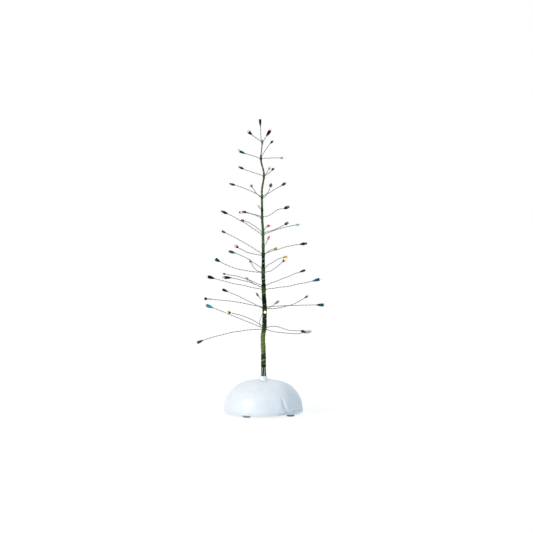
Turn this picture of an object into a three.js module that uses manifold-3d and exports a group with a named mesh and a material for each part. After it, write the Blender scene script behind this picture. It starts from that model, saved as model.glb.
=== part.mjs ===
// A battery-lit bare wire tree on a moulded snow mound, in millimetres, +Z up.
// The origin is the centre of the base on the surface it stands on.
// X runs along the battery bay, and Y across it.
import * as THREE from "three";
import { mergeVertices } from "three/addons/utils/BufferGeometryUtils.js";
import Module from "manifold-3d";

const wasm = await Module();
wasm.setup();

// Fits
const clearance = 0.3; // between neighbours that touch or slide

// Snow mound
const shellRoom = 7.1; // from the battery bay's corners out to the mound's rim
const moundHeight = 30; // from the rim to the crown
const moundExponent = 2.4; // 2 is a plain ellipse, more is squarer
const shellWall = 2;
const valleyDepth = 2.2; // the drift line at the front right
const valleyWidth = 9; // degrees
const driftDepth = 0.45; // soft undulation all round
const moundSides = 40;
const crownDip = 0.6; // the hollow round the collar
const crownDipRadius = 7.5;
const collarTop = 5.6; // above the crown
const collarTopRadius = 3.35;
const collarFootRadius = 3.9;

// Base plate
const plateThickness = 2.4;
const plateInset = 0.35; // the plate's edge behind the shell's
const plateEdgeRound = 1.2;
const spigotHeight = 3;
const spigotWall = 1.4;
const spigotPlay = 0.8; // the shell's wall is drafted inwards there
const bayWall = 1;
const baySpare = 0.8; // across the bay, beyond its two cells

// Feet
const footRadius = 4;
const footStandOut = 2.6;
const footInset = 8.1; // from the mound's rim to a foot's centre
const footRecess = 1;

// Cells and their contacts
const cellRadius = 7.25;
const cellLength = 50.5;
const cellNubRadius = 2.75;
const cellNubLength = 1;
const cellSpacing = 15.2;
const contactThickness = 0.4;
const contactWidth = 11;
const contactHeight = 9;
const springLength = 4;
const springWire = 0.7;
const springTurns = 3;
const springFootRadius = 4.4;
const springTipRadius = 2.8;
const tabWidth = 3;
const tabDrop = 2; // below the contact plate's top
const tabLength = 2.4; // outside the bay's end wall

// Battery door
const doorThickness = 2;
const stubRadius = 0.55;
const stubLength = 1.2;
const thumbRadius = 5;
const thumbDepth = 1.1;

// Slide switch
const switchOffset = 24; // from the centre, towards -Y
const switchLength = 13;
const switchWidth = 6.4;
const switchHeight = 5;
const switchWall = 1.1;
const knobLength = 3.2;
const knobWidth = 2.2;
const knobStandOut = 1.1; // below the plate
const knobTravel = 4;
const flangeMargin = 0.7; // the knob's flange beyond its shank
const flangeHeight = 1.5;

// Screws and their bosses
const screwRoom = 0.45; // between a boss and the battery bay
const screwRadius = 1.1;
const screwHeadRadius = 2.2;
const screwHeadHeight = 0.8;
const screwReach = 6; // above the plate
const screwSink = 0.2;
const bossWall = 1.3;

// Leads inside the base
const leadRadius = 0.6;
const leadSides = 8;

// Stem: where its centre and surface are at each height, seen from the front
const stem = [
  { z: 25, x: 0, y: 0, r: 2.4 },
  { z: 41, x: 0, y: 0, r: 2.4 },
  { z: 61, x: -0.1, y: 0.3, r: 2.25 },
  { z: 78, x: -0.7, y: 0.5, r: 2.15 },
  { z: 92, x: 0.9, y: 0.2, r: 2.1 },
  { z: 108, x: 1.1, y: -0.5, r: 2.05 },
  { z: 128, x: 0.1, y: -0.7, r: 1.95 },
  { z: 144, x: -0.3, y: 0, r: 1.7 },
  { z: 164, x: -0.3, y: 0.8, r: 1.45 },
  { z: 185, x: -0.6, y: 0.6, r: 1.25 },
  { z: 203, x: -1.5, y: -0.3, r: 1.1 },
  { z: 228, x: -1.7, y: -0.8, r: 0.95 },
  { z: 245, x: 0.4, y: -0.2, r: 0.85 },
  { z: 262, x: -2.7, y: 0.5, r: 0.8 },
  { z: 281, x: -1.3, y: 0.3, r: 0.65 },
];
const stemSides = 10;
const stemCap = 0.4; // the taped tip above the last station
const coreRadius = 0.6;
const coreTop = 166; // the steel core ends where the stem gets thin
const retainerRadius = 6;
const retainerThickness = 1;

// Lamps
const wireDiameter = 0.76; // over the twisted pair
const sleeveRadius = 1.4; // at the bulb's end
const sleeveTail = 0.55; // at the wire's end
const bulbRadius = 1.15;
const bulbStandOut = 2.8;
const bindingWall = 0.5;
const bindingHeight = 1.2;
const treeTurn = -13; // degrees, the tree's front against the base's

// Branches, in groups that share a binding round the stem at height z.
// A bearing is in degrees from the right, and 90 is the back. Reach and rise go to
// the bulb's centre, and bow is how far the wire's middle lies over the straight line.
const branches = [
  { name: "1a", z: 87.2, lamps: [
    { bearing: 169, reach: 71.5, rise: -14.8, bow: 3, sleeve: 6.5, color: "pink" },
    { bearing: 44, reach: 67.5, rise: -5.6, bow: -3.5, sleeve: 6.5, color: "rose" } ] },
  { name: "1b", z: 88.8, lamps: [
    { bearing: 154.5, reach: 68, rise: 21.8, bow: 0.1, sleeve: 7.6, color: "peach" },
    { bearing: -53, reach: 67, rise: 0, bow: 1.5, sleeve: 5.5, color: "red" } ] },
  { name: "1c", z: 90.4, lamps: [
    { bearing: 236.5, reach: 67, rise: 17.2, bow: 2.6, sleeve: 6, color: "orange" } ] },
  { name: "2a", z: 107, lamps: [
    { bearing: -89.5, reach: 58, rise: 0.9, bow: 1, sleeve: 6, color: "gold" },
    { bearing: 76, reach: 61, rise: 6, bow: -0.5, sleeve: 6, color: "ice" } ] },
  { name: "2b", z: 108.6, lamps: [
    { bearing: 137.5, reach: 61, rise: 18, bow: 0.6, sleeve: 7.6, color: "blush" },
    { bearing: -44, reach: 61, rise: 15.3, bow: -4.2, sleeve: 5, color: "yellow" } ] },
  { name: "2c", z: 110.2, lamps: [
    { bearing: 184, reach: 63, rise: 8.7, bow: 1, sleeve: 6.6, color: "clear" },
    { bearing: 13, reach: 63.8, rise: 1.2, bow: 0.5, sleeve: 7.4, color: "pink" } ] },
  { name: "2d", z: 116.4, lamps: [
    { bearing: 98, reach: 60, rise: 5, bow: -0.6, sleeve: 5, color: "red" } ] },
  { name: "3a", z: 128.4, lamps: [
    { bearing: 172, reach: 59, rise: 12.8, bow: -0.9, sleeve: 7, color: "mint" },
    { bearing: -5, reach: 58.5, rise: 10.6, bow: -1.2, sleeve: 7.4, color: "pink" } ] },
  { name: "3b", z: 130, lamps: [
    { bearing: 226, reach: 58, rise: 11.8, bow: 2, sleeve: 7, color: "magenta" },
    { bearing: 253, reach: 58, rise: 11.2, bow: -1, sleeve: 6.2, color: "amber" } ] },
  { name: "3c", z: 132, lamps: [
    { bearing: 137.5, reach: 58, rise: 10.2, bow: 1.8, sleeve: 4.5, color: "green" },
    { bearing: 40.5, reach: 58, rise: 15, bow: 0.3, sleeve: 7.4, color: "clear" } ] },
  { name: "4a", z: 145.6, lamps: [
    { bearing: 184, reach: 50.2, rise: 14.2, bow: -3.6, sleeve: 5.4, color: "clear" },
    { bearing: -64, reach: 50, rise: 14.5, bow: -2.8, sleeve: 5, color: "orange" } ] },
  { name: "4b", z: 147.4, lamps: [
    { bearing: 254.5, reach: 50, rise: 12.1, bow: -5, sleeve: 5, color: "yellow" } ] },
  { name: "4c", z: 149.4, lamps: [
    { bearing: 136, reach: 50, rise: 17.2, bow: 2.4, sleeve: 7.6, color: "magenta" },
    { bearing: 60.5, reach: 50, rise: 11.2, bow: 2.2, sleeve: 6, color: "scarlet" } ] },
  { name: "5a", z: 163, lamps: [
    { bearing: 229, reach: 43, rise: 10.3, bow: -2.2, sleeve: 4, color: "pink" },
    { bearing: 69.5, reach: 43, rise: 6.6, bow: 1.6, sleeve: 4.5, color: "yellow" } ] },
  { name: "5b", z: 164.8, lamps: [
    { bearing: 166, reach: 45, rise: 23.4, bow: 1.1, sleeve: 7, color: "cyan" },
    { bearing: -8, reach: 44, rise: 10.3, bow: 1.4, sleeve: 4.4, color: "mint" } ] },
  { name: "5c", z: 172, lamps: [
    { bearing: -82, reach: 42, rise: 10, bow: -1, sleeve: 5, color: "pink" } ] },
  { name: "6a", z: 184.6, lamps: [
    { bearing: 172, reach: 42.4, rise: 23.4, bow: 1.6, sleeve: 4, color: "blue" },
    { bearing: 26, reach: 42.2, rise: 10, bow: 1.3, sleeve: 3.8, color: "straw" } ] },
  { name: "6b", z: 186.2, lamps: [
    { bearing: 239.5, reach: 42, rise: 12.4, bow: 2.2, sleeve: 4, color: "purple" },
    { bearing: -54, reach: 42, rise: 9.8, bow: -1.2, sleeve: 3.8, color: "green" } ] },
  { name: "6c", z: 187.8, lamps: [
    { bearing: 80, reach: 42, rise: 5.5, bow: 0.5, sleeve: 4, color: "red" } ] },
  { name: "7a", z: 201.2, lamps: [
    { bearing: 231, reach: 30, rise: 6.1, bow: 0.8, sleeve: 3.8, color: "teal" } ] },
  { name: "7b", z: 202.8, lamps: [
    { bearing: 140, reach: 30, rise: 4.4, bow: 0.8, sleeve: 3.8, color: "blush" },
    { bearing: -27, reach: 30, rise: 9.5, bow: 0, sleeve: 4, color: "red" } ] },
  { name: "7c", z: 209.5, lamps: [
    { bearing: 99, reach: 30, rise: 5.7, bow: 0.3, sleeve: 4, color: "peach" } ] },
  { name: "8a", z: 221.8, lamps: [
    { bearing: 249.5, reach: 33, rise: 13, bow: -1.6, sleeve: 4.2, color: "yellow" },
    { bearing: -65, reach: 20, rise: 12.4, bow: -3.6, sleeve: 3.8, color: "teal" } ] },
  { name: "8b", z: 223.4, lamps: [
    { bearing: 168, reach: 33, rise: 12.8, bow: 1.2, sleeve: 3.8, color: "maroon" },
    { bearing: 42, reach: 33, rise: 14.2, bow: -0.2, sleeve: 5, color: "magenta" } ] },
  { name: "9a", z: 242.9, lamps: [
    { bearing: -75, reach: 25, rise: 9.4, bow: 0, sleeve: 6, color: "yellow" } ] },
  { name: "9b", z: 244.6, lamps: [
    { bearing: 159, reach: 27, rise: 8.9, bow: -0.5, sleeve: 3.8, color: "purple" },
    { bearing: 66, reach: 25, rise: 8.4, bow: -1, sleeve: 5, color: "peach" } ] },
  { name: "10a", z: 262, lamps: [
    { bearing: 205, reach: 25, rise: 7.2, bow: 0.4, sleeve: 6.4, color: "cyan" },
    { bearing: -22, reach: 25.6, rise: 0, bow: 0.3, sleeve: 4.4, color: "lilac" } ] },
  { name: "10b", z: 264, lamps: [
    { bearing: 60, reach: 25, rise: 17.5, bow: 1.3, sleeve: 6, color: "pink" } ] },
  { name: "11a", z: 279.4, lamps: [
    { bearing: 180, reach: 2, rise: 24, bow: 0, sleeve: 7.4, color: "blush" },
    { bearing: 35, reach: 10.6, rise: 12.4, bow: 0.2, sleeve: 7.2, color: "scarlet" },
    { bearing: 215, reach: 18, rise: 10, bow: -0.8, sleeve: 5.6, color: "straw" } ] },
];

// The lamps' colours
const lampColors = {
  pink: 0xf08cb0, rose: 0xf06a86, peach: 0xf2b48c, red: 0xd8333c, orange: 0xf08a3c,
  gold: 0xf6d25a, ice: 0xa8cfe0, blush: 0xf0b9c4, yellow: 0xf0dc5a, clear: 0xe4ece8,
  mint: 0x9fd8b8, magenta: 0xc8327e, amber: 0xf0b03c, green: 0x3f9a68, scarlet: 0xe2543c,
  cyan: 0x8fd6dc, blue: 0x2f62b8, straw: 0xe6e2a0, purple: 0x7b4aa0, teal: 0x1f7f86,
  maroon: 0x7a2440, lilac: 0xd8a8d8,
};

// Places that follow from the sizes
const plateBottom = footStandOut;
const plateTop = plateBottom + plateThickness;
const rim = plateTop + clearance;
const crown = rim + moundHeight;
const bayEnd = (cellLength + springLength) / 2 + contactThickness + 2 * clearance;
const baySide = cellSpacing / 2 + cellRadius + baySpare / 2;
const moundRadius = Math.hypot(bayEnd + bayWall, baySide + bayWall) + shellRoom;
const innerRadius = moundRadius - shellWall;
const innerCrown = crown - shellWall;
const plateRadius = moundRadius - plateInset;
const spigotRadius = innerRadius - spigotPlay;
const screwHole = screwRadius + clearance;
const screwTip = plateTop + screwReach;
const screwCircle = bayEnd + bayWall + screwRoom + bossWall + screwHole;
const footCircle = moundRadius - footInset;
const doorTop = plateBottom + doorThickness;
const cellHeight = doorTop + clearance + cellRadius;
const bayCeiling = cellHeight + cellRadius + clearance;
const bayTop = bayCeiling + bayWall;
const contactFace = bayEnd - clearance - contactThickness;
const tabHeight = cellHeight + contactHeight / 2 - tabDrop;
const switchBottom = plateTop + clearance;
const hinge = { y: baySide - clearance - doorThickness / 2, z: plateBottom + doorThickness / 2 };
const stemFoot = stem[0];
const boreRadius = stemFoot.r + clearance;

const degrees = Math.PI / 180;
const v = (x, y, z) => new THREE.Vector3(x, y, z);
const lerp = THREE.MathUtils.lerp;

// Solids
function solid(geometry) {
  const bare = geometry.clone();
  bare.deleteAttribute("normal");
  bare.deleteAttribute("uv");
  const merged = mergeVertices(bare, 1e-4);
  const corners = merged.index.array;
  const kept = [];
  for (let i = 0; i < corners.length; i += 3) {
    const [a, b, c] = corners.slice(i, i + 3);
    if (a !== b && b !== c && c !== a) kept.push(a, b, c);
  }
  const vertProperties = merged.attributes.position.array;
  return new wasm.Manifold(new wasm.Mesh({ numProp: 3, vertProperties, triVerts: new Uint32Array(kept) }));
}

function meshOf(name, body, color, roughness, metalness = 0) {
  const { vertProperties, triVerts } = body.getMesh();
  const geometry = new THREE.BufferGeometry();
  geometry.setAttribute("position", new THREE.BufferAttribute(new Float32Array(vertProperties), 3));
  geometry.setIndex(new THREE.BufferAttribute(new Uint32Array(triVerts), 1));
  geometry.computeVertexNormals();
  const material = new THREE.MeshStandardMaterial({ color, roughness, metalness });
  const mesh = new THREE.Mesh(geometry, material);
  mesh.name = name;
  return mesh;
}

function block(x0, x1, y0, y1, z0, z1) {
  const geometry = new THREE.BoxGeometry(x1 - x0, y1 - y0, z1 - z0);
  return solid(geometry.translate((x0 + x1) / 2, (y0 + y1) / 2, (z0 + z1) / 2));
}

// A solid of revolution about Z, from [radius, height] pairs that climb on the outside.
function turned(profile, sides) {
  const points = profile.map(([r, z]) => new THREE.Vector2(r, z));
  return new THREE.LatheGeometry(points, sides).rotateX(Math.PI / 2);
}

function post(x, y, z0, z1, radius, sides = 16) {
  return solid(turned([[0, z0], [radius, z0], [radius, z1], [0, z1]], sides).translate(x, y, 0));
}

function ring(inner, outer, z0, z1, sides) {
  return turned([[inner, z0], [outer, z0], [outer, z1], [inner, z1], [inner, z0]], sides);
}

function tube(curve, radius, sides, steps) {
  const section = new THREE.Shape();
  for (let i = 0; i < sides; i++) {
    const angle = (2 * Math.PI * i) / sides;
    const [x, y] = [radius * Math.cos(angle), radius * Math.sin(angle)];
    if (i === 0) section.moveTo(x, y);
    else section.lineTo(x, y);
  }
  return solid(new THREE.ExtrudeGeometry(section, { steps, bevelEnabled: false, extrudePath: curve }));
}

const joined = (bodies) => bodies.reduce((whole, body) => whole.add(body));

// The mound's surface at a share of the way from the rim to the crown.
function moundPoint(share, radius, height) {
  const angle = (share * Math.PI) / 2;
  const power = 2 / moundExponent;
  return [radius * Math.cos(angle) ** power, rim + height * Math.sin(angle) ** power];
}

function moundProfile(radius, height, innermost, steps) {
  const profile = [];
  for (let i = 0; i <= steps; i++) {
    const point = moundPoint(i / steps, radius, height);
    if (point[0] < innermost) break;
    profile.push(point);
  }
  return profile;
}

// The snow's drifts: how far the surface lies inwards at a bearing and a height.
function drift(bearing, z) {
  const up = THREE.MathUtils.clamp((z - rim) / moundHeight, 0, 1);
  const valley = -68 - 10 * Math.sin(up * Math.PI) + 14 * up * up;
  const off = ((bearing - valley + 540) % 360) - 180;
  const dent = valleyDepth * Math.exp(-((off / valleyWidth) ** 2)) * Math.cos((up * Math.PI) / 2) ** 0.5;
  const waves = Math.sin(3 * bearing * degrees + 1) + 0.6 * Math.sin(5 * bearing * degrees + 2.4);
  return dent + driftDepth * (1 + waves / 1.6) * Math.sin(Math.min(1, up * 1.15) * Math.PI);
}

function drifted(geometry) {
  const places = geometry.attributes.position;
  for (let i = 0; i < places.count; i++) {
    const [x, y, z] = [places.getX(i), places.getY(i), places.getZ(i)];
    const radius = Math.hypot(x, y);
    if (z > crown || radius < crownDipRadius) continue;
    const factor = 1 - drift(Math.atan2(y, x) / degrees, z) / radius;
    places.setXY(i, x * factor, y * factor);
  }
  return geometry;
}

const screwPlaces = [0, 90, 180, 270].map((turn) => ({
  x: screwCircle * Math.cos(turn * degrees),
  y: screwCircle * Math.sin(turn * degrees),
}));
const footPlaces = [45, 135, 225, 315].map((turn) => ({
  x: footCircle * Math.cos(turn * degrees),
  y: footCircle * Math.sin(turn * degrees),
}));

function baseShell() {
  const inside = moundProfile(innerRadius, innerCrown - rim, boreRadius + 2, 6).reverse();
  const outside = moundProfile(moundRadius, moundHeight, crownDipRadius, 9);
  const dip = crown - crownDip;
  const collar = [
    [collarFootRadius + 0.9, dip],
    [collarFootRadius, dip + 0.7],
    [collarTopRadius, crown + collarTop - 0.4],
    [collarTopRadius - 0.2, crown + collarTop],
    [boreRadius, crown + collarTop],
    [boreRadius, innerCrown],
  ];
  const profile = [[boreRadius, innerCrown], ...inside, ...outside, ...collar];
  const shell = solid(drifted(turned(profile, moundSides)));
  const core = [[0, rim], ...moundProfile(moundRadius - shellWall / 2, innerCrown - rim, 1, 6)];
  const within = solid(drifted(turned([...core, [0, innerCrown]], moundSides)));
  const bosses = screwPlaces.map(({ x, y }) => post(x, y, rim, crown, screwHole + bossWall, 8));
  const holes = screwPlaces.map(({ x, y }) => post(x, y, rim - 1, screwTip + clearance, screwHole, 8));
  return shell.add(joined(bosses).intersect(within)).subtract(joined(holes));
}

function basePlate() {
  const middle = plateBottom + plateEdgeRound * 0.3;
  const edge = [
    [0, plateBottom],
    [plateRadius - plateEdgeRound, plateBottom],
    [plateRadius - plateEdgeRound * 0.3, middle],
    [plateRadius, plateBottom + plateEdgeRound],
    [plateRadius, plateTop],
    [spigotRadius, plateTop],
    [spigotRadius, plateTop + spigotHeight],
    [spigotRadius - spigotWall, plateTop + spigotHeight],
    [spigotRadius - spigotWall, plateTop],
    [0, plateTop],
  ];
  const bayOuter = [bayEnd + bayWall, baySide + bayWall];
  const bay = block(-bayOuter[0], bayOuter[0], -bayOuter[1], bayOuter[1], plateBottom, bayTop);
  const cuts = [block(-bayEnd, bayEnd, -baySide, baySide, plateBottom - 1, bayCeiling)];
  for (const { x, y } of footPlaces)
    cuts.push(post(x, y, plateBottom - 1, plateBottom + footRecess, footRadius + clearance));
  for (const { x, y } of screwPlaces) {
    const sink = plateBottom + screwSink + screwHeadHeight + clearance;
    cuts.push(post(x, y, plateBottom - 1, sink, screwHeadRadius + clearance, 12));
    cuts.push(post(x, y, plateBottom, plateTop + 1, screwHole, 8));
  }
  const slot = [(knobLength + knobTravel) / 2 + clearance, knobWidth / 2 + clearance];
  cuts.push(block(-slot[0], slot[0], -switchOffset - slot[1], -switchOffset + slot[1],
    plateBottom - 1, plateTop + 1));
  for (const side of [-1, 1]) {
    const stub = turned([[0, 0], [stubRadius + clearance, 0], [stubRadius + clearance, 1], [0, 1]], 10);
    stub.scale(1, 1, stubLength + clearance).rotateY((side * Math.PI) / 2);
    cuts.push(solid(stub.translate(side * (bayEnd - 0.01), hinge.y, hinge.z)));
  }
  cuts.push(post(0, -baySide, plateBottom - 1, plateBottom + thumbDepth, thumbRadius));
  for (const side of [-1, 1]) {
    const y = (side * cellSpacing) / 2;
    const half = tabWidth / 2 + clearance;
    cuts.push(block(-bayEnd - 2 * bayWall, -bayEnd + 1, y - half, y + half,
      tabHeight - clearance, tabHeight + contactThickness + clearance));
  }
  return solid(drifted(turned(edge, moundSides))).add(bay).subtract(joined(cuts));
}

function batteryDoor() {
  const half = bayEnd - clearance;
  const panel = block(-half, half, -baySide + clearance, hinge.y, plateBottom, doorTop);
  const barrel = turned([[0, 0], [doorThickness / 2, 0], [doorThickness / 2, 1], [0, 1]], 12);
  barrel.scale(1, 1, 2 * half).rotateY(Math.PI / 2).translate(-half, hinge.y, hinge.z);
  const pivot = turned([[0, 0], [stubRadius, 0], [stubRadius, 1], [0, 1]], 10);
  pivot.scale(1, 1, 2 * (half + stubLength)).rotateY(Math.PI / 2);
  pivot.translate(-half - stubLength, hinge.y, hinge.z);
  const grip = post(0, -baySide, plateBottom - 1, plateBottom + thumbDepth, thumbRadius);
  return joined([panel, solid(barrel), solid(pivot)]).subtract(grip);
}

// A cell that lies along X, with its nub towards the given side.
function cell(side) {
  const nubFoot = cellLength - cellNubLength;
  const can = turned([
    [0, 0],
    [cellRadius - 0.5, 0],
    [cellRadius, 0.5],
    [cellRadius, nubFoot - 0.5],
    [cellRadius - 0.6, nubFoot],
    [cellNubRadius, nubFoot],
    [cellNubRadius, cellLength],
    [0, cellLength],
  ], 16);
  const nubTip = contactFace - clearance;
  can.rotateY((side * Math.PI) / 2).translate(side * (nubTip - cellLength), 0, 0);
  return solid(can.translate(0, (side * cellSpacing) / 2, cellHeight));
}

// A contact spring: a cone of turns from the plate to the cell's flat end.
class Coil extends THREE.Curve {
  getPoint(t) {
    const angle = 2 * Math.PI * springTurns * t;
    const radius = lerp(springFootRadius, springTipRadius, t);
    const along = lerp(-contactThickness / 2, springLength - springWire / 2, t);
    return v(along, radius * Math.cos(angle), radius * Math.sin(angle));
  }
}

function springAt(side, y) {
  const coil = tube(new Coil(), springWire / 2, 5, 10 * springTurns);
  const turn = side > 0 ? 180 : 0;
  return coil.rotate([0, 0, turn]).translate([side * contactFace, y, cellHeight]);
}

// The least gap between two turns, on points a turn apart.
function springGap() {
  const coil = new Coil();
  let least = Infinity;
  for (let i = 0; i + 1 <= 40 * (springTurns - 1); i++) {
    const [a, b] = [i, i + 40].map((step) => coil.getPoint(step / (40 * springTurns)));
    least = Math.min(least, a.distanceTo(b) - springWire);
  }
  return least;
}
console.log("least gap between a contact spring's turns: " + springGap().toFixed(2) + " mm");

function contactPlate(side, y0, y1) {
  const [near, far] = [side * contactFace, side * (contactFace + contactThickness)];
  const [low, high] = [cellHeight - contactHeight / 2, cellHeight + contactHeight / 2];
  return block(Math.min(near, far), Math.max(near, far), y0, y1, low, high);
}

function terminal(y) {
  const plate = contactPlate(-1, y - contactWidth / 2, y + contactWidth / 2);
  const out = bayEnd + bayWall + tabLength;
  const tab = block(-out, -contactFace, y - tabWidth / 2, y + tabWidth / 2,
    tabHeight, tabHeight + contactThickness);
  return plate.add(tab);
}

function bridgeContact() {
  const reach = (cellSpacing + contactWidth) / 2;
  return contactPlate(1, -reach, reach).add(springAt(1, -cellSpacing / 2));
}

function switchBody() {
  const [length, width] = [switchLength / 2, switchWidth / 2];
  const outer = block(-length, length, -width, width, switchBottom, switchBottom + switchHeight);
  const room = [(knobLength + knobTravel) / 2 + flangeMargin + clearance, width - switchWall];
  const cavity = block(-room[0], room[0], -room[1], room[1],
    switchBottom - 1, switchBottom + switchHeight - switchWall);
  return outer.subtract(cavity).translate([0, -switchOffset, 0]);
}

function switchKnob() {
  const [length, width] = [knobLength / 2, knobWidth / 2];
  const foot = switchBottom + flangeHeight;
  const shank = block(-length, length, -width, width, plateBottom - knobStandOut, foot);
  const flange = block(-length - flangeMargin, length + flangeMargin,
    -width - flangeMargin, width + flangeMargin, switchBottom, foot);
  return shank.add(flange).translate([-knobTravel / 2, -switchOffset, 0]);
}

function foot({ x, y }) {
  const top = plateBottom + footRecess - clearance;
  const pad = turned([
    [0, 0],
    [footRadius - 0.5, 0],
    [footRadius, 0.5],
    [footRadius, top],
    [0, top],
  ], 16);
  return solid(pad.translate(x, y, 0));
}

function screw({ x, y }) {
  const head = plateBottom + screwSink;
  const neck = head + screwHeadHeight;
  const shape = turned([
    [0, head],
    [screwHeadRadius - 0.3, head],
    [screwHeadRadius, head + 0.3],
    [screwHeadRadius, neck],
    [screwRadius, neck],
    [screwRadius, screwTip - 1.5],
    [0, screwTip],
  ], 10);
  return solid(shape.translate(x, y, 0));
}

// Leads: each route starts at a contact and ends under the stem or at the switch
const tabEnd = bayEnd + bayWall + tabLength - leadRadius - 0.2;
const leadStart = tabHeight + contactThickness + clearance;
const overBay = bayTop + clearance + leadRadius;
const switchTop = switchBottom + switchHeight + clearance;
const underStem = stemFoot.z - clearance;
const cellSide = cellSpacing / 2;

function lead(points) {
  const curve = new THREE.CatmullRomCurve3(points, false, "centripetal");
  return tube(curve, leadRadius, leadSides, 3 * (points.length - 1));
}

const leadRoutes = {
  lead_red: [
    v(-tabEnd, -cellSide, leadStart),
    v(-tabEnd - 0.3, -cellSide - 0.2, leadStart + 4.5),
    v(-tabEnd + 2.4, -cellSide - 1.6, overBay + 1.3),
    v(-19, -baySide + 1.4, overBay + 1.3),
    v(-11.5, -baySide - bayWall - 2.2, overBay - 0.8),
    v(-switchLength / 4 - 1, -switchOffset + 1, switchTop + 4),
    v(-switchLength / 4, -switchOffset, switchTop),
  ],
  lead_switched: [
    v(switchLength / 4, -switchOffset, switchTop),
    v(switchLength / 4 + 1, -switchOffset + 1, switchTop + 4),
    v(7, -baySide - bayWall - 2, overBay - 1.2),
    v(6.5, -baySide + 1.5, overBay + 1.6),
    v(3.5, -5, overBay + 1.2),
    v(1.5, -1, underStem - 1.6),
    v(1.2, 0, underStem),
  ],
  lead_black: [
    v(-tabEnd, cellSide, leadStart),
    v(-tabEnd - 0.3, cellSide, leadStart + 4.5),
    v(-tabEnd + 2.4, cellSide - 0.6, overBay + 1.3),
    v(-18, 4.5, overBay + 1),
    v(-6, 1.2, overBay + 0.6),
    v(-1.5, 0.2, underStem - 1.6),
    v(-1.2, 0, underStem),
  ],
};

// The stem's centre and surface at a height, eased between its stations.
function stemAt(z) {
  const last = stem.length - 1;
  let i = stem.findIndex((station, k) => k < last && z <= stem[k + 1].z);
  if (i < 0) i = last - 1;
  const [low, high] = [stem[i], stem[i + 1]];
  const share = THREE.MathUtils.clamp((z - low.z) / (high.z - low.z), 0, 1);
  const eased = (1 - Math.cos(share * Math.PI)) / 2;
  return {
    x: lerp(low.x, high.x, eased),
    y: lerp(low.y, high.y, eased),
    r: lerp(low.r, high.r, share),
  };
}

function followStem(geometry) {
  const places = geometry.attributes.position;
  for (let i = 0; i < places.count; i++) {
    const centre = stemAt(places.getZ(i));
    places.setXY(i, places.getX(i) + centre.x, places.getY(i) + centre.y);
  }
  return geometry;
}

// Heights at the stations and halfway between them
function stemHeights(z0, z1) {
  const heights = [z0, z1];
  stem.forEach((station, i) => {
    heights.push(station.z);
    if (i > 1) heights.push((station.z + stem[i - 1].z) / 2);
  });
  return [...new Set(heights)].filter((z) => z >= z0 && z <= z1).sort((a, b) => a - b);
}

function stemBody() {
  const bore = coreRadius + clearance;
  const boreTop = coreTop + clearance;
  const tip = stem[stem.length - 1].z;
  const inner = stemHeights(stemFoot.z, boreTop).map((z) => [bore, z]).reverse();
  const outer = stemHeights(stemFoot.z, tip).map((z) => [stemAt(z).r, z]);
  return solid(followStem(turned([[0, boreTop], ...inner, ...outer, [0, tip + stemCap]], stemSides)));
}

function stemCore() {
  const heights = stemHeights(stemFoot.z + clearance, coreTop);
  const side = heights.map((z) => [coreRadius, z]);
  const [low, high] = [heights[0], heights[heights.length - 1]];
  return solid(followStem(turned([[0, low], ...side, [0, high]], 8)));
}

function stemRetainer() {
  const top = innerCrown - clearance;
  return solid(ring(boreRadius, retainerRadius, top - retainerThickness, top, 16));
}

// A lamp along Z: the wire's end of its sleeve at 0, and the bulb at the top.
function lampGeometry(sleeveLength) {
  const tip = sleeveLength + bulbStandOut;
  return turned([
    [0, 0],
    [sleeveTail, 0],
    [sleeveRadius, sleeveLength * 0.8],
    [bulbRadius, sleeveLength],
    [bulbRadius, sleeveLength + bulbStandOut * 0.5],
    [bulbRadius * 0.6, tip - bulbStandOut * 0.12],
    [0, tip],
  ], 6);
}

const bindingSides = 8;
const bindingInner = (z) => (stemAt(z).r + clearance) / Math.cos(Math.PI / bindingSides);

function branchBody(z, { bearing, reach, rise, bow, sleeve }) {
  const centre = stemAt(z);
  const outwards = v(Math.cos(bearing * degrees), Math.sin(bearing * degrees), 0);
  const inner = bindingInner(z);
  const start = v(centre.x, centre.y, z).addScaledVector(outwards, inner + 0.3 * bindingWall);
  const bulb = v(centre.x, centre.y, z + rise).addScaledVector(outwards, reach);
  const middle = start.clone().add(bulb).multiplyScalar(0.5).add(v(0, 0, 2 * bow));
  const whole = new THREE.QuadraticBezierCurve3(start, middle, bulb);
  const lampSpan = sleeve + bulbStandOut / 2;
  const share = 1 - lampSpan / (2 * bulb.distanceTo(middle));
  const sleeveFoot = whole.getPoint(share);
  const along = bulb.clone().sub(sleeveFoot).normalize();
  const wireEnd = sleeveFoot.clone().addScaledVector(along, 0.8);
  const wire = new THREE.QuadraticBezierCurve3(start, start.clone().lerp(middle, share), wireEnd);
  const lamp = lampGeometry(sleeve);
  lamp.applyQuaternion(new THREE.Quaternion().setFromUnitVectors(v(0, 0, 1), along));
  lamp.translate(...sleeveFoot.toArray());
  const steps = 3 + Math.ceil(Math.abs(bow));
  return tube(wire, wireDiameter / 2, 5, steps).add(solid(lamp));
}

function branchGroup({ z, lamps }) {
  const centre = stemAt(z);
  const inner = bindingInner(z);
  const half = bindingHeight / 2;
  const binding = ring(inner, inner + bindingWall, z - half, z + half, bindingSides);
  binding.translate(centre.x, centre.y, 0);
  return joined([solid(binding), ...lamps.map((lamp) => branchBody(z, lamp))]);
}

// Assembly
const white = 0xe8eef2;
const rubber = 0x2c2f31;
const steel = 0xb4b6b8;
const nickel = 0xc9c6bc;

const tree = new THREE.Group();
tree.rotation.z = treeTurn * degrees;
tree.add(meshOf("stem", stemBody(), 0x4f6a3a, 0.7));
tree.add(meshOf("stem_core_wire", stemCore(), steel, 0.4, 0.9));
for (const branch of branches) {
  const color = lampColors[branch.lamps[0].color];
  tree.add(meshOf("lamp_branch_" + branch.name, branchGroup(branch), color, 0.35));
}

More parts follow.
